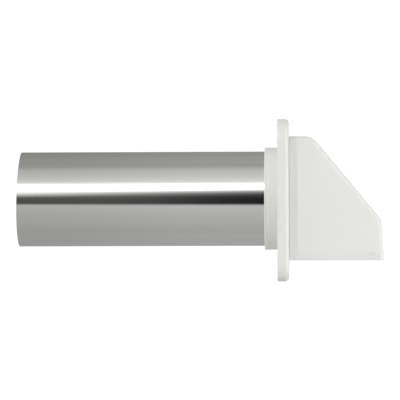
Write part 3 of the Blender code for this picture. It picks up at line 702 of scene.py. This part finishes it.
def make_wall_plate(material):
    levels = edge_levels(0, PLATE_FRONT, PLATE_BACK_EDGE, PLATE_EDGE)
    rings = [(plate_outline(inset), height) for inset, height in levels]
    plate = make_object(stack("wall_plate_moulding", rings, FACING_X))
    inside = PLATE_FRONT - PLATE_WALL
    levels = edge_levels(-PAST, inside, 0, PLATE_EDGE - PLATE_WALL)[EDGE_STEPS:]
    hollow = [(plate_outline(PLATE_WALL + inset), height) for inset, height in levels]
    combine(plate, [stack("plate_hollow", hollow, FACING_X)], "DIFFERENCE")
    hole = COLLAR_RADIUS + PLATE_HOLE_GAP
    front = inside + PLATE_WALL / 2
    bosses = along_x(0, front, WALL_SCREW_PLACES)
    added = [
        boxes("plate_ribs", plate_ribs(inside)),
        slab("plate_ring", circle(hole + PLATE_RING_WALL), PLATE_RING_BACK, front, FACING_X),
        rods("plate_bosses", WALL_BOSS_RADIUS, bosses),
    ]
    combine(plate, added, "UNION")
    far = PAST + PLATE_FRONT
    seat_x = PLATE_FRONT - WALL_SEAT_DEPTH
    through = along_x(-PAST, far, WALL_SCREW_PLACES)
    seats = along_x(seat_x, far, WALL_SCREW_PLACES)
    clear = along_x(0, far, SCREW_PLACES)
    removed = [
        slab("plate_bore", circle(hole), -PAST, far, FACING_X),
        rods("wall_screw_holes", WALL_SCREW_RADIUS, through),
        rods("wall_screw_seats", WALL_SEAT_RADIUS, seats),
        rods("hood_screw_holes", SCREW_RADIUS + SCREW_HOLE_GAP, clear),
    ]
    combine(plate, removed, "DIFFERENCE")
    dress(plate, material, "vent_body", "wall_plate")


# ---- pipe collar ----


def collar_profile():
    """Outer side from the seat down to the open end, then up the socket and the bore."""
    top = SEAT_CENTRE_X + PAST
    step_x = (FLANGE_BACK + FLANGE_FRONT) / 2
    profile = [(SEAT_RADIUS, top), (SEAT_RADIUS, step_x), (COLLAR_RADIUS, step_x)]
    for centre in reversed(COLLAR_BEADS):
        for step in range(EDGE_STEPS + 1):
            across = 1 - 2 * step / EDGE_STEPS
            height = BEAD_HEIGHT * math.cos(across * math.pi / 2) ** 2
            profile.append((COLLAR_RADIUS + height, centre + BEAD_HALF * across))
    lead = SOCKET_RADIUS + SOCKET_LEAD / 2
    for step in range(EDGE_STEPS + 1):
        turn = math.pi / 2 * step / EDGE_STEPS
        radius = COLLAR_RADIUS - COLLAR_END_EDGE * (1 - math.cos(turn))
        profile.append((radius, COLLAR_END + COLLAR_END_EDGE * (1 - math.sin(turn))))
    return profile + [
        (lead, COLLAR_END),
        (SOCKET_RADIUS, COLLAR_END + SOCKET_LEAD),
        (SOCKET_RADIUS, LEDGE_X),
        (BORE_RADIUS, LEDGE_X),
        (BORE_RADIUS, top),
    ]


def crush_ribs():
    """Ribs inside the socket, whose tips guide the pipe."""
    shape = bmesh.new()
    inner = PIPE_RADIUS + GAP
    start, end = COLLAR_END + 2 * SOCKET_LEAD, PIPE_HIGH.x + 2 * GAP
    size = Vector((end - start, CRUSH_RIB_WIDTH, SOCKET_RADIUS + SOCKET_LEAD / 2 - inner))
    middle = Vector(((start + end) / 2, 0, inner + size.z / 2))
    for index in range(CRUSH_RIBS):
        turn = Matrix.Rotation(math.tau * index / CRUSH_RIBS, 4, "X")
        place = turn @ Matrix.Translation(middle) @ Matrix.Diagonal((*size, 1))
        bmesh.ops.create_cube(shape, size=1, matrix=place)
    return finished_mesh(shape, "crush_ribs")


def ear_spans():
    return [(side * EAR_INNER, side * EAR_OUTER) for side in (-1, 1)]


def collar_flange():
    """The flange between plate and hood, with a hole that the seat's tube fills."""
    low, high = (-COLLAR_HIGH.y, COLLAR_LOW.z), (COLLAR_HIGH.y, COLLAR_HIGH.z)
    outline = rounded_box(low, high, FLANGE_CORNER)
    mesh = slab("collar_flange", outline, FLANGE_BACK, FLANGE_FRONT, FACING_X)
    flange = make_object(mesh)
    hole = circle((BORE_RADIUS + SEAT_RADIUS) / 2)
    combine(flange, [slab("flange_hole", hole, 0, PAST + FLANGE_FRONT, FACING_X)], "DIFFERENCE")
    mesh = flange.data
    bpy.data.objects.remove(flange)
    return mesh


def make_pipe_collar(material):
    collar = make_object(turned("collar_moulding", collar_profile(), FACING_X))
    x, z = PIN_CENTRE.x, PIN_CENTRE.z
    root = (FLANGE_BACK + FLANGE_FRONT) / 2
    ear_ends = [((x, start, z), (x, end, z)) for start, end in ear_spans()]
    ear_roots = [
        ((root, min(span), z - EAR_RADIUS), (x, max(span), z + EAR_RADIUS))
        for span in ear_spans()
    ]
    added = [
        collar_flange(),
        crush_ribs(),
        boxes("ear_roots", ear_roots),
        rods("ear_ends", EAR_RADIUS, ear_ends),
    ]
    combine(collar, added, "UNION")
    wide = COLLAR_HIGH.y + PAST
    clear = along_x(0, PAST + FLANGE_FRONT, SCREW_PLACES)
    above = boxes("seat_trim", [((0, -wide, -wide), (2 * PAST, wide, SEAT_TRIM_TOP))])
    turn = Matrix.Rotation(-SEAT_TILT, 4, "Y")
    above.transform(Matrix.Translation((SEAT_CENTRE_X, 0, 0)) @ turn)
    removed = [
        rods("flange_screw_holes", SCREW_RADIUS + SCREW_HOLE_GAP, clear),
        rods("ear_holes", PIN_HOLE_RADIUS, [((x, -wide, z), (x, wide, z))]),
        above,
    ]
    combine(collar, removed, "DIFFERENCE")
    dress(collar, material, "vent_body", "pipe_collar")


# ---- hood ----


def crossing(first, second):
    """Where two lines meet, each given as a point and a direction in a plane."""
    (start, along), (other_start, other_along) = first, second
    return start + along * (other_start - start).cross(other_along) / along.cross(other_along)


def hood_outline(inset, foot):
    """The hood's side profile in X and Z, inset all round but at its back and its foot."""
    slope_along = Vector((math.cos(SLOPE), -math.sin(SLOPE)))
    slope_inward = Vector((-math.sin(SLOPE), -math.cos(SLOPE)))
    front_along = Vector((math.sin(FRONT_DRAFT), -math.cos(FRONT_DRAFT)))
    front_inward = Vector((-math.cos(FRONT_DRAFT), -math.sin(FRONT_DRAFT)))
    top = (Vector((0, HOOD_TOP - inset)), Vector((1, 0)))
    slope = (Vector((BROW_X, HOOD_TOP)) + slope_inward * inset, slope_along)
    front = (Vector((FRONT_X, LIP_TOP)) + front_inward * inset, front_along)
    floor = (Vector((0, foot)), Vector((1, 0)))
    brow, chin, toe = crossing(top, slope), crossing(slope, front), crossing(front, floor)
    back = HOOD_BACK - PAST - inset
    return rounded_line(
        [
            (back, foot, 0),
            (toe.x, toe.y, 0),
            (chin.x, chin.y, CHIN_RADIUS - inset),
            (brow.x, brow.y, BROW_RADIUS - inset),
            (back, HOOD_TOP - inset, 0),
        ],
        True,
        2 * ARC_STEPS,
    )


def hood_blank(name, inset, foot):
    """The hood as a solid block, with its long edges rounded."""
    half = HOOD_HALF - inset
    edge = HOOD_EDGE - inset
    levels = edge_levels(-half, half, edge, edge, 2 * EDGE_STEPS)
    rings = [(hood_outline(inset + more, foot), height) for more, height in levels]
    return stack(name, rings, FACING_Y)


def lip_levels():
    """(proud in front, proud at the sides, height) up the lip, which turns in at its foot."""
    reach = LIP_TOP - LIP_SHOULDER - HOOD_BOTTOM
    levels = []
    steps = 2 * EDGE_STEPS
    for step in range(steps + 1):
        rise = step / steps
        bend = (1 - rise) ** 2
        front = LIP_PROUD - LIP_FRONT_TURN_IN * bend
        side = LIP_SIDE_PROUD - LIP_SIDE_TURN_IN * bend
        levels.append((front, side, HOOD_BOTTOM + reach * rise))
    front, side, _ = levels[0]
    levels[0] = (front - LIP_FOOT_EDGE, side - LIP_FOOT_EDGE, HOOD_BOTTOM)
    less, rise = LIP_FOOT_EDGE / 4, LIP_FOOT_EDGE / 2
    levels.insert(1, (front - less, side - less, HOOD_BOTTOM + rise))
    for step in range(1, EDGE_STEPS + 1):
        turn = math.pi / 2 * step / EDGE_STEPS
        less, rise = LIP_SHOULDER * (1 - math.cos(turn)), LIP_SHOULDER * math.sin(turn)
        height = LIP_TOP - LIP_SHOULDER + rise
        side = LIP_SIDE_PROUD * (1 - less / LIP_PROUD)
        levels.append((LIP_PROUD - less, side, height))
    return levels


def lip_band():
    """The thicker band round the foot of the hood, as a solid block."""
    rings = []
    back = HOOD_BACK - 2 * PAST
    for front, side, height in lip_levels():
        half = HOOD_HALF + side
        outline = rounded_box((back, -half), (FRONT_X + front, half), HOOD_EDGE + side)
        rings.append((outline, height))
    return stack("lip_band", rings)


def make_hood(material):
    foot = (HOOD_BOTTOM + LIP_TOP) / 2
    hood = make_object(hood_blank("hood_moulding", 0, foot))
    combine(hood, [lip_band()], "UNION")
    inner = hood_blank("hood_inside", HOOD_WALL, HOOD_BOTTOM - 3 * PAST)
    combine(hood, [inner], "DIFFERENCE")
    wide, far = HOOD_HALF + PAST, FRONT_X + PAST
    kept = [((HOOD_BACK, -wide, HOOD_BOTTOM - PAST), (far, wide, HOOD_TOP + PAST))]
    combine(hood, [boxes("hood_kept", kept)], "INTERSECT")
    start = FLANGE_FRONT + GAP
    wall = HOOD_HALF - HOOD_WALL / 2
    bosses = along_x(start, BOSS_END, SCREW_PLACES)
    webs = []
    for y, z in SCREW_PLACES:
        low, high = sorted((y, math.copysign(wall, y)))
        webs.append(((start, low, z - BOSS_WEB / 2), (BOSS_END, high, z + BOSS_WEB / 2)))
    combine(hood, [boxes("boss_webs", webs)], "UNION")
    tip = HEAD_SEAT_X + SCREW_LENGTH + 2 * GAP
    pilots = along_x(0, tip, SCREW_PLACES)
    pivot = [((PIVOT_X, -wide, PIVOT_Z), (PIVOT_X, wide, PIVOT_Z))]
    combine(hood, [rods("bosses", BOSS_RADIUS, bosses)], "UNION", "MANIFOLD")
    removed = [
        rods("screw_pilots", SCREW_RADIUS + GAP, pilots),
        rods("guard_pivot_holes", PIVOT_HOLE_RADIUS, pivot),
    ]
    combine(hood, removed, "DIFFERENCE", "MANIFOLD")
    dress(hood, material, "vent_body", "hood_shell")


def threaded_shank():
    """A screw's shank, from the head at Z = 0 up to its tip, with a helical thread."""
    rows = round(SCREW_LENGTH / SCREW_PITCH * THREAD_ROWS)
    rings = []
    for row in range(rows + 1):
        height = SCREW_LENGTH * row / rows
        left = SCREW_LENGTH - height
        taper = min(1, (left / SCREW_TIP) ** SCREW_TIP_BEND + SCREW_TIP_BLUNT)
        ring = []
        for side in range(SMALL_SIDES):
            angle = math.tau * side / SMALL_SIDES
            phase = (height / SCREW_PITCH - side / SMALL_SIDES) % 1
            crest = max(0, 1 - abs(phase - 0.5) * THREAD_STEEP)
            radius = (SCREW_CORE + (SCREW_RADIUS - SCREW_CORE) * crest) * taper
            ring.append((radius * math.cos(angle), radius * math.sin(angle)))
        rings.append((ring, height))
    return stack("threaded_shank", rings)


def screw_head():
    """A pan head with a domed crown, standing on Z = 0 and facing down."""
    rings = [(circle(SCREW_HEAD_RADIUS, SMALL_SIDES), SCREW_HEAD_LAP)]
    for step in range(EDGE_STEPS + 1):
        turn = SCREW_CROWN_SWEEP * step / EDGE_STEPS
        radius = SCREW_HEAD_RADIUS - SCREW_CROWN * (1 - math.cos(turn))
        drop = SCREW_HEAD_HEIGHT - SCREW_CROWN * (1 - math.sin(turn)) - SCREW_HEAD_LAP
        rings.append((circle(radius, SMALL_SIDES), -drop))
    rings.append((circle(SCREW_HEAD_RADIUS / 3, SMALL_SIDES), -SCREW_HEAD_HEIGHT))
    return stack("screw_head", rings)


def make_screws(material):
    """Four screws of one mesh, heads in the tray and tips in the hood's bosses."""
    pattern = make_object(screw_head())
    combine(pattern, [threaded_shank()], "UNION")
    arm, half = RECESS_ARM / 2, RECESS_WIDTH / 2
    low, high = -SCREW_HEAD_HEIGHT - PAST, RECESS_DEPTH - SCREW_HEAD_HEIGHT
    for span in (((-arm, -half, low), (arm, half, high)), ((-half, -arm, low), (half, arm, high))):
        combine(pattern, [boxes("screw_recess", [span])], "DIFFERENCE")
    mesh = pattern.data
    bpy.data.objects.remove(pattern)
    for index, (y, z) in enumerate(SCREW_PLACES):
        screw = make_object(mesh.copy(), f"pan_head_screw_{index + 1}")
        degrees = SCREW_TURN_FIRST + SCREW_TURN_STEP * index
        turn = Matrix.Rotation(math.radians(degrees), 4, "Z")
        across = Matrix.Rotation(math.pi / 2, 4, "Y")
        screw.data.transform(Matrix.Translation((HEAD_SEAT_X, y, z)) @ across @ turn)
        dress(screw, material, "vent_body", f"hood_screw_{index + 1}")


# ---- damper ----


def flap_outline(inset):
    """A disc with a square-shouldered top, in the flap's own plane, about the duct's axis."""
    radius, shoulder = FLAP_RADIUS - inset, FLAP_SHOULDER - inset
    start = math.acos(shoulder / radius)
    sweep = math.pi + 2 * start
    points = [(-shoulder, FLAP_TOP - inset), (shoulder, FLAP_TOP - inset)]
    for step in range(ROUND_SIDES // 2 + 1):
        angle = start - sweep * step / (ROUND_SIDES // 2)
        points.append((radius * math.cos(angle), radius * math.sin(angle)))
    return points


def damper_stand():
    """The tilted seat's frame: drawn X across, drawn Y up the seat, drawn Z off the seat."""
    stand = Matrix((Vector((0, 1, 0)), UP_THE_SEAT, OFF_THE_SEAT)).transposed().to_4x4()
    stand.translation = (SEAT_CENTRE_X, 0, 0)
    return stand


def make_flap(material):
    stand = damper_stand()
    back = GAP + SEAL_THICKNESS + GAP
    front = back + FLAP_THICKNESS
    ribbed = front + FLAP_RIB_HEIGHT
    sunk = front - FLAP_THICKNESS / 2
    edge = FLAP_RIM / 4
    levels = edge_levels(back, ribbed, edge, edge, FLAP_EDGE_STEPS)
    rings = [(flap_outline(inset), height) for inset, height in levels]
    flap = make_object(stack("damper_moulding", rings, stand))
    pocket = slab("flap_pocket", flap_outline(FLAP_RIM), front, ribbed + PAST, stand)
    combine(flap, [pocket], "DIFFERENCE")
    half = FLAP_RIB / 2
    reach = FLAP_TOP - FLAP_RIM / 2
    drop = math.sqrt(FLAP_RADIUS**2 - FLAP_RIB_OFFSET**2) - FLAP_RIM
    ribs = [
        ((x - half, -drop, sunk), (x + half, reach, ribbed - FLAP_STEP))
        for x in (-FLAP_RIB_OFFSET, FLAP_RIB_OFFSET)
    ]
    root_low, root_high = back + FLAP_STEP, ribbed + FLAP_STEP
    roots = [
        ((min(span), FLAP_TOP - KNUCKLE_ROOT, root_low), (max(span), PIN_ABOVE, root_high))
        for span in ((-KNUCKLE_SPAN[1], -KNUCKLE_SPAN[0]), KNUCKLE_SPAN)
    ]
    barrels = [
        tuple((side * across, PIN_ABOVE, PIN_AHEAD) for across in KNUCKLE_SPAN)
        for side in (-1, 1)
    ]
    added = [
        boxes("flap_ribs", ribs),
        boxes("knuckle_roots", roots),
        rods("knuckles", KNUCKLE_RADIUS, barrels),
    ]
    for mesh in added:
        mesh.transform(stand)
    combine(flap, added, "UNION")
    x, z, wide = PIN_CENTRE.x, PIN_CENTRE.z, FLAP_RADIUS + PAST
    hole = rods("flap_pin_hole", PIN_HOLE_RADIUS, [((x, -wide, z), (x, wide, z))])
    combine(flap, [hole], "DIFFERENCE")
    dress(flap, material, "damper", "damper_flap")


def make_seal(material):
    low, high = GAP, GAP + SEAL_THICKNESS
    profile = rounded_box((SEAL_INNER, low), (SEAL_OUTER, high), SEAL_EDGE, SMALL_EDGE_STEPS)
    ring = make_object(turned("foam_ring", profile, damper_stand()))
    dress(ring, material, "damper", "damper_seal")


def make_pin(material):
    """The hinge pin, with rounded ends."""
    edge = PIN_RADIUS / 3
    levels = edge_levels(-PIN_HALF, PIN_HALF, edge, edge, SMALL_EDGE_STEPS)
    rings = [(circle(PIN_RADIUS - inset, SMALL_SIDES), height) for inset, height in levels]
    stand = Matrix.Translation((PIN_CENTRE.x, 0, PIN_CENTRE.z)) @ FACING_Y
    pin = make_object(stack("hinge_pin_rod", rings, stand))
    dress(pin, material, "vent_body", "hinge_pin")


def clip_outline():
    """An open ring in X and Z, its mouth upwards."""
    inner, half = PIN_RADIUS + GAP, CLIP_SLOT / 2
    points = []
    for radius, way in ((CLIP_RADIUS, 1), (inner, -1)):
        start = math.pi / 2 + math.asin(half / radius)
        sweep = math.tau - 2 * math.asin(half / radius)
        steps = 2 * SMALL_SIDES
        arc = [start + sweep * step / steps for step in range(steps + 1)][::way]
        points += [(radius * math.cos(angle), radius * math.sin(angle)) for angle in arc]
    return points


def make_clips(material):
    near = EAR_OUTER + GAP
    for way, side in (("left", -1), ("right", 1)):
        low, high = sorted((-side * near, -side * (near + CLIP_THICKNESS)))
        stand = Matrix.Translation((PIN_CENTRE.x, 0, PIN_CENTRE.z)) @ FACING_Y
        clip = make_object(slab(f"clip_{way}", clip_outline(), low, high, stand))
        bevel(clip, CLIP_THICKNESS / 6)
        dress(clip, material, "vent_body", f"pin_clip_{way}")


# ---- bird guard ----


def guard_cells():
    """The openings of the grid, as boxes that run right through it."""
    low_x, high_x = GUARD_BACK + GUARD_RAIL, GUARD_FRONT - GUARD_RAIL
    low_y, high_y = GUARD_RAIL - GUARD_HALF, GUARD_HALF - GUARD_RAIL
    pitch_x = (high_x - low_x + GUARD_BAR) / GUARD_CELLS[0]
    pitch_y = (high_y - low_y + GUARD_BAR) / GUARD_CELLS[1]
    cells = []
    for row in range(GUARD_CELLS[0]):
        for column in range(GUARD_CELLS[1]):
            x, y = low_x + row * pitch_x, low_y + column * pitch_y
            far = (x + pitch_x - GUARD_BAR, y + pitch_y - GUARD_BAR, GUARD_TOP + PAST)
            cells.append(((x, y, GUARD_BOTTOM - PAST), far))
    return cells


def guard_pins():
    """The two stub pins, with domed ends."""
    inner = GUARD_HALF - GUARD_RAIL / 2
    rings = [(circle(PIVOT_RADIUS, SMALL_SIDES), inner)]
    for step in range(EDGE_STEPS + 1):
        turn = PIVOT_SWEEP * step / EDGE_STEPS
        radius = PIVOT_RADIUS * math.sqrt(math.cos(turn))
        height = PIVOT_END - PIVOT_DOME * (1 - math.sin(turn) / math.sin(PIVOT_SWEEP))
        rings.append((circle(radius, SMALL_SIDES), height))
    pins = []
    for side in (-1, 1):
        stand = Matrix.Translation((PIVOT_X, 0, PIVOT_Z)) @ FACING_Y
        stand = stand @ Matrix.Rotation(math.pi * (side > 0), 4, "X")
        pins.append(stack("guard_pin", rings, stand))
    return pins


def make_guard(material):
    low, high = (GUARD_BACK, -GUARD_HALF), (GUARD_FRONT, GUARD_HALF)
    outline = rounded_box(low, high, GUARD_CORNER, GUARD_CORNER_STEPS)
    guard = make_object(slab("guard_moulding", outline, GUARD_BOTTOM, GUARD_TOP))
    combine(guard, [boxes("guard_cells", guard_cells())], "DIFFERENCE")
    bevel(guard, GUARD_EDGE)
    tongue_x = GUARD_BACK + GAP
    tongues = [
        (
            (tongue_x, y - TONGUE_HALF, GUARD_TOP - GUARD_BAR),
            (tongue_x + TONGUE_THICKNESS, y + TONGUE_HALF, TONGUE_TOP),
        )
        for y in (-TONGUE_Y, TONGUE_Y)
    ]
    pull = [
        (
            (GUARD_BACK + GAP, -PULL_HALF, GUARD_BOTTOM - PULL_DROP),
            (GUARD_BACK + GUARD_RAIL / 2, PULL_HALF, GUARD_TOP - GUARD_BAR),
        )
    ]
    added = [*guard_pins(), boxes("guard_tongues", tongues), boxes("guard_pull", pull)]
    combine(guard, added, "UNION")
    dress(guard, material, "guard", "bird_guard")


# ---- camera, light and floor ----


def bearing(azimuth, elevation):
    """The direction towards something, with azimuth 0 on the -Y side."""
    level = math.cos(elevation)
    return Vector((math.sin(azimuth) * level, -math.cos(azimuth) * level, math.sin(elevation)))


def make_camera():
    data = bpy.data.cameras.new("camera")
    data.lens = VIEW_LENS
    data.sensor_width = VIEW_SENSOR
    data.clip_end = VIEW_REACH
    camera = bpy.data.objects.new("camera", data)
    bpy.context.scene.collection.objects.link(camera)
    back = bearing(VIEW_AZIMUTH, VIEW_ELEVATION)
    camera.location = VIEW_AIM + back * VIEW_DISTANCE
    camera.rotation_mode = "QUATERNION"
    roll = Matrix.Rotation(VIEW_ROLL, 4, "Z").to_quaternion()
    camera.rotation_quaternion = (-back).to_track_quat("-Z", "Y") @ roll
    bpy.context.scene.camera = camera


def make_key_light():
    data = bpy.data.lights.new("key", "SUN")
    data.energy = KEY_STRENGTH
    data.angle = KEY_ANGLE
    key = bpy.data.objects.new("key", data)
    bpy.context.scene.collection.objects.link(key)
    key.rotation_mode = "QUATERNION"
    key.rotation_quaternion = bearing(KEY_AZIMUTH, KEY_ELEVATION).to_track_quat("Z", "Y")


# The studio's brightness round the duct's axis: degrees above the level of the camera's side
STUDIO = (
    (-180, 1.4), (-177, 1.4), (-174, 0.38), (-75, 0.4), (-45, 0.45), (-18, 0.51), (0, 0.7),
    (18, 1.2), (23, 2.6), (34, 2.6), (38, 1.0), (43, 0.74), (50, 0.66), (80, 0.45),
    (86, 0.345), (110, 0.345), (140, 0.3), (174, 0.3), (177, 1.4), (180, 1.4),
)
# The walls' brightness round the same axis, so that metal shows its shape from every side
WALL_BANDS = (
    (-180, 0.6), (-100, 0.55), (-72, 0.6), (-62, 1.9), (-42, 1.9), (-34, 0.9), (-8, 0.9),
    (-4, 0.2), (6, 0.2), (12, 0.8), (19, 1.1), (23, 2.3), (37, 2.3), (41, 0.85), (60, 0.6),
    (100, 0.5), (140, 0.55), (180, 0.6),
)
LEFT_WALL = (1.0, 1.35)  # brightness of the wall to the left, low down and high up
RIGHT_WALL = (0.7, 2.25)  # brightness of the wall to the right, behind and in front
RIGHT_WALL_SHARE = (1.25, 0.6)  # the share of that, low down and high up
WALL_LEVELS = (-0.2, 0.4)  # upward or forward parts of the direction between these
WALLS_FROM = 0.35  # sideways part of the direction at which the walls begin
WALLS_FULL = 0.9  # and from which on there is nothing else
# The dark opening that the camera looks out of: degrees as above, share of light let through
OPENING = ((-16, 1.0), (-10, 0.0), (2, 0.03), (10, 0.2), (16, 0.5), (21, 0.85), (26, 1.0))
OPENING_ASIDE = 0.06  # sideways part of the direction at which the opening is that tall
OPENING_ENDS = (-10, 10)  # degrees that count as its lower and its upper end
OPENING_SHIFTS = (-35, 158)  # degrees by which those ends move for each unit sideways
OPENING_DARK = (0.018, 0.07)  # sideways parts at which it is darkest and lightest
OPENING_LIGHTEST = 0.135
STUDIO_DIMS = (0.035, 0.09)  # sideways parts between which the studio dims
STUDIO_DIMMED = 0.87
SIDES_FROM = (0.11, 0.25)  # the same for the share that lights only the plastic
SIDES_SHARE = (0.5, 2.2)  # that share in front, and above, below and behind
SIDES_TURN = (50, 80)  # degrees above or below the camera's level between those
STUDIO_WHITE = (1, 1, 0.985)


def ramp(nodes, value, stops):
    """A piecewise straight curve through (degrees, value) stops."""
    low, high = stops[0][0], stops[-1][0]
    top = max(level for _, level in stops)
    node = nodes.add("ShaderNodeValToRGB")
    elements = node.color_ramp.elements
    for degrees, _ in stops[1:-1]:
        elements.new((degrees - low) / (high - low))
    for element, (_, level) in zip(elements, stops):
        element.color = (level / top, level / top, level / top, 1)
    nodes.feed(node.inputs[0], nodes.spread(value, low, high, 0, 1))
    return nodes.math("MULTIPLY", node.outputs[0], top)


def make_world():
    """The studio that lights the object, unseen by the camera, which sees plain white."""
    world = bpy.data.worlds.new("studio")
    bpy.context.scene.world = world
    world.use_nodes = True
    world.node_tree.nodes.clear()
    nodes = Nodes(world.node_tree)
    across, depth, height = nodes.parts("Generated")
    facing = nodes.math("MULTIPLY", depth, -1.0)
    angle = nodes.math("DEGREES", nodes.math("ARCTAN2", height, facing))
    aside = nodes.math("ABSOLUTE", across)
    inward = nodes.math("SUBTRACT", OPENING_ASIDE, aside)
    shift = nodes.spread(angle, *OPENING_ENDS, *OPENING_SHIFTS)
    slide = nodes.math("MULTIPLY", inward, shift)
    through = ramp(nodes, nodes.math("SUBTRACT", angle, slide), OPENING)
    least = nodes.spread(aside, *OPENING_DARK, 0, OPENING_LIGHTEST)
    through = nodes.math("MAXIMUM", through, least)
    share = nodes.spread(aside, *STUDIO_DIMS, 1, STUDIO_DIMMED)
    turned_up = nodes.math("ABSOLUTE", angle)
    side_share = nodes.spread(turned_up, *SIDES_TURN, *SIDES_SHARE)
    share = nodes.math("MULTIPLY", share, nodes.spread(aside, *SIDES_FROM, 1, side_share))
    share = nodes.math("MULTIPLY", share, through)
    middle = nodes.math("MULTIPLY", ramp(nodes, angle, STUDIO), share)
    left = nodes.spread(height, *WALL_LEVELS, *LEFT_WALL)
    right = nodes.spread(facing, *WALL_LEVELS, *RIGHT_WALL)
    right_share = nodes.spread(height, *WALL_LEVELS, *RIGHT_WALL_SHARE)
    right = nodes.math("MULTIPLY", right, right_share)
    wall = nodes.blend(nodes.spread(across, -WALLS_FROM, WALLS_FROM, 0, 1), left, right)
    wall = nodes.math("MULTIPLY", wall, ramp(nodes, angle, WALL_BANDS))
    studio = nodes.blend(nodes.spread(aside, WALLS_FROM, WALLS_FULL, 0, 1), middle, wall)
    light = nodes.add("ShaderNodeBackground")
    colour = nodes.tint(studio, (0, 0, 0), STUDIO_WHITE)
    colour.node.clamp_factor = False  # parts of the studio are brighter than white
    nodes.feed(light.inputs["Color"], colour)
    white = nodes.add("ShaderNodeBackground")
    nodes.feed(white.inputs["Color"], (1, 1, 1, 1))
    nodes.feed(white.inputs["Strength"], BACKDROP)
    path = nodes.add("ShaderNodeLightPath")
    choose = nodes.add("ShaderNodeMixShader")
    nodes.feed(choose.inputs[0], path.outputs["Is Camera Ray"])
    nodes.feed(choose.inputs[1], light.outputs[0])
    nodes.feed(choose.inputs[2], white.outputs[0])
    out = nodes.add("ShaderNodeOutputWorld")
    nodes.feed(out.inputs[0], choose.outputs[0])


def make_floor():
    """A pale floor well below the object, which fades into the white backdrop."""
    outline = circle(FLOOR_RADIUS, FLOOR_SIDES)
    floor = make_object(slab("floor", outline, FLOOR_Z - PAST, FLOOR_Z))
    material, nodes, shader = new_material("floor")
    source = nodes.add("ShaderNodeTexCoord")
    length = nodes.add("ShaderNodeVectorMath", operation="LENGTH")
    nodes.feed(length.inputs[0], source.outputs["Object"])
    speckle = nodes.noise(40.0)
    nodes.feed(shader["Base Color"], nodes.tint(speckle, *FLOOR_TINTS))
    shader["Roughness"].default_value = FLOOR_ROUGH
    shader["Specular IOR Level"].default_value = 0.0
    white = nodes.add("ShaderNodeEmission")
    nodes.feed(white.inputs["Color"], (1, 1, 1, 1))
    nodes.feed(white.inputs["Strength"], BACKDROP)
    fade = nodes.add("ShaderNodeMixShader")
    faded = nodes.spread(length.outputs["Value"], FLOOR_PLAIN, FLOOR_FADED, 0, 1)
    nodes.feed(fade.inputs[0], faded)
    tree = material.node_tree
    nodes.feed(fade.inputs[1], tree.nodes["Principled BSDF"].outputs[0])
    nodes.feed(fade.inputs[2], white.outputs[0])
    nodes.feed(tree.nodes["Material Output"].inputs["Surface"], fade.outputs[0])
    floor.data.materials.append(material)
    floor.visible_diffuse = False
    floor.visible_glossy = False


def make_stage():
    bpy.context.scene.view_settings.view_transform = "Standard"
    bpy.context.scene.view_settings.look = "None"
    make_camera()
    make_key_light()
    make_world()
    make_floor()


def make_pieces():
    metal = aluminium()
    white = plastic("white_moulding", MOULDING_TONE)
    steel = zinc()
    make_tail_pipe(metal)
    # The plate's darker white is a painted shade, and the collar's lighter white is a painted
    # light, on the one white plastic
    make_wall_plate(plastic("white_plate_painted_shade", PLATE_TONE_PAINTED_SHADE))
    make_pipe_collar(plastic("white_collar_painted_light", COLLAR_TONE_PAINTED_LIGHT))
    make_hood(white)
    make_screws(steel)
    make_flap(white)
    make_seal(foam())
    make_pin(steel)
    make_clips(steel)
    make_guard(white)


make_stage()
make_pieces()
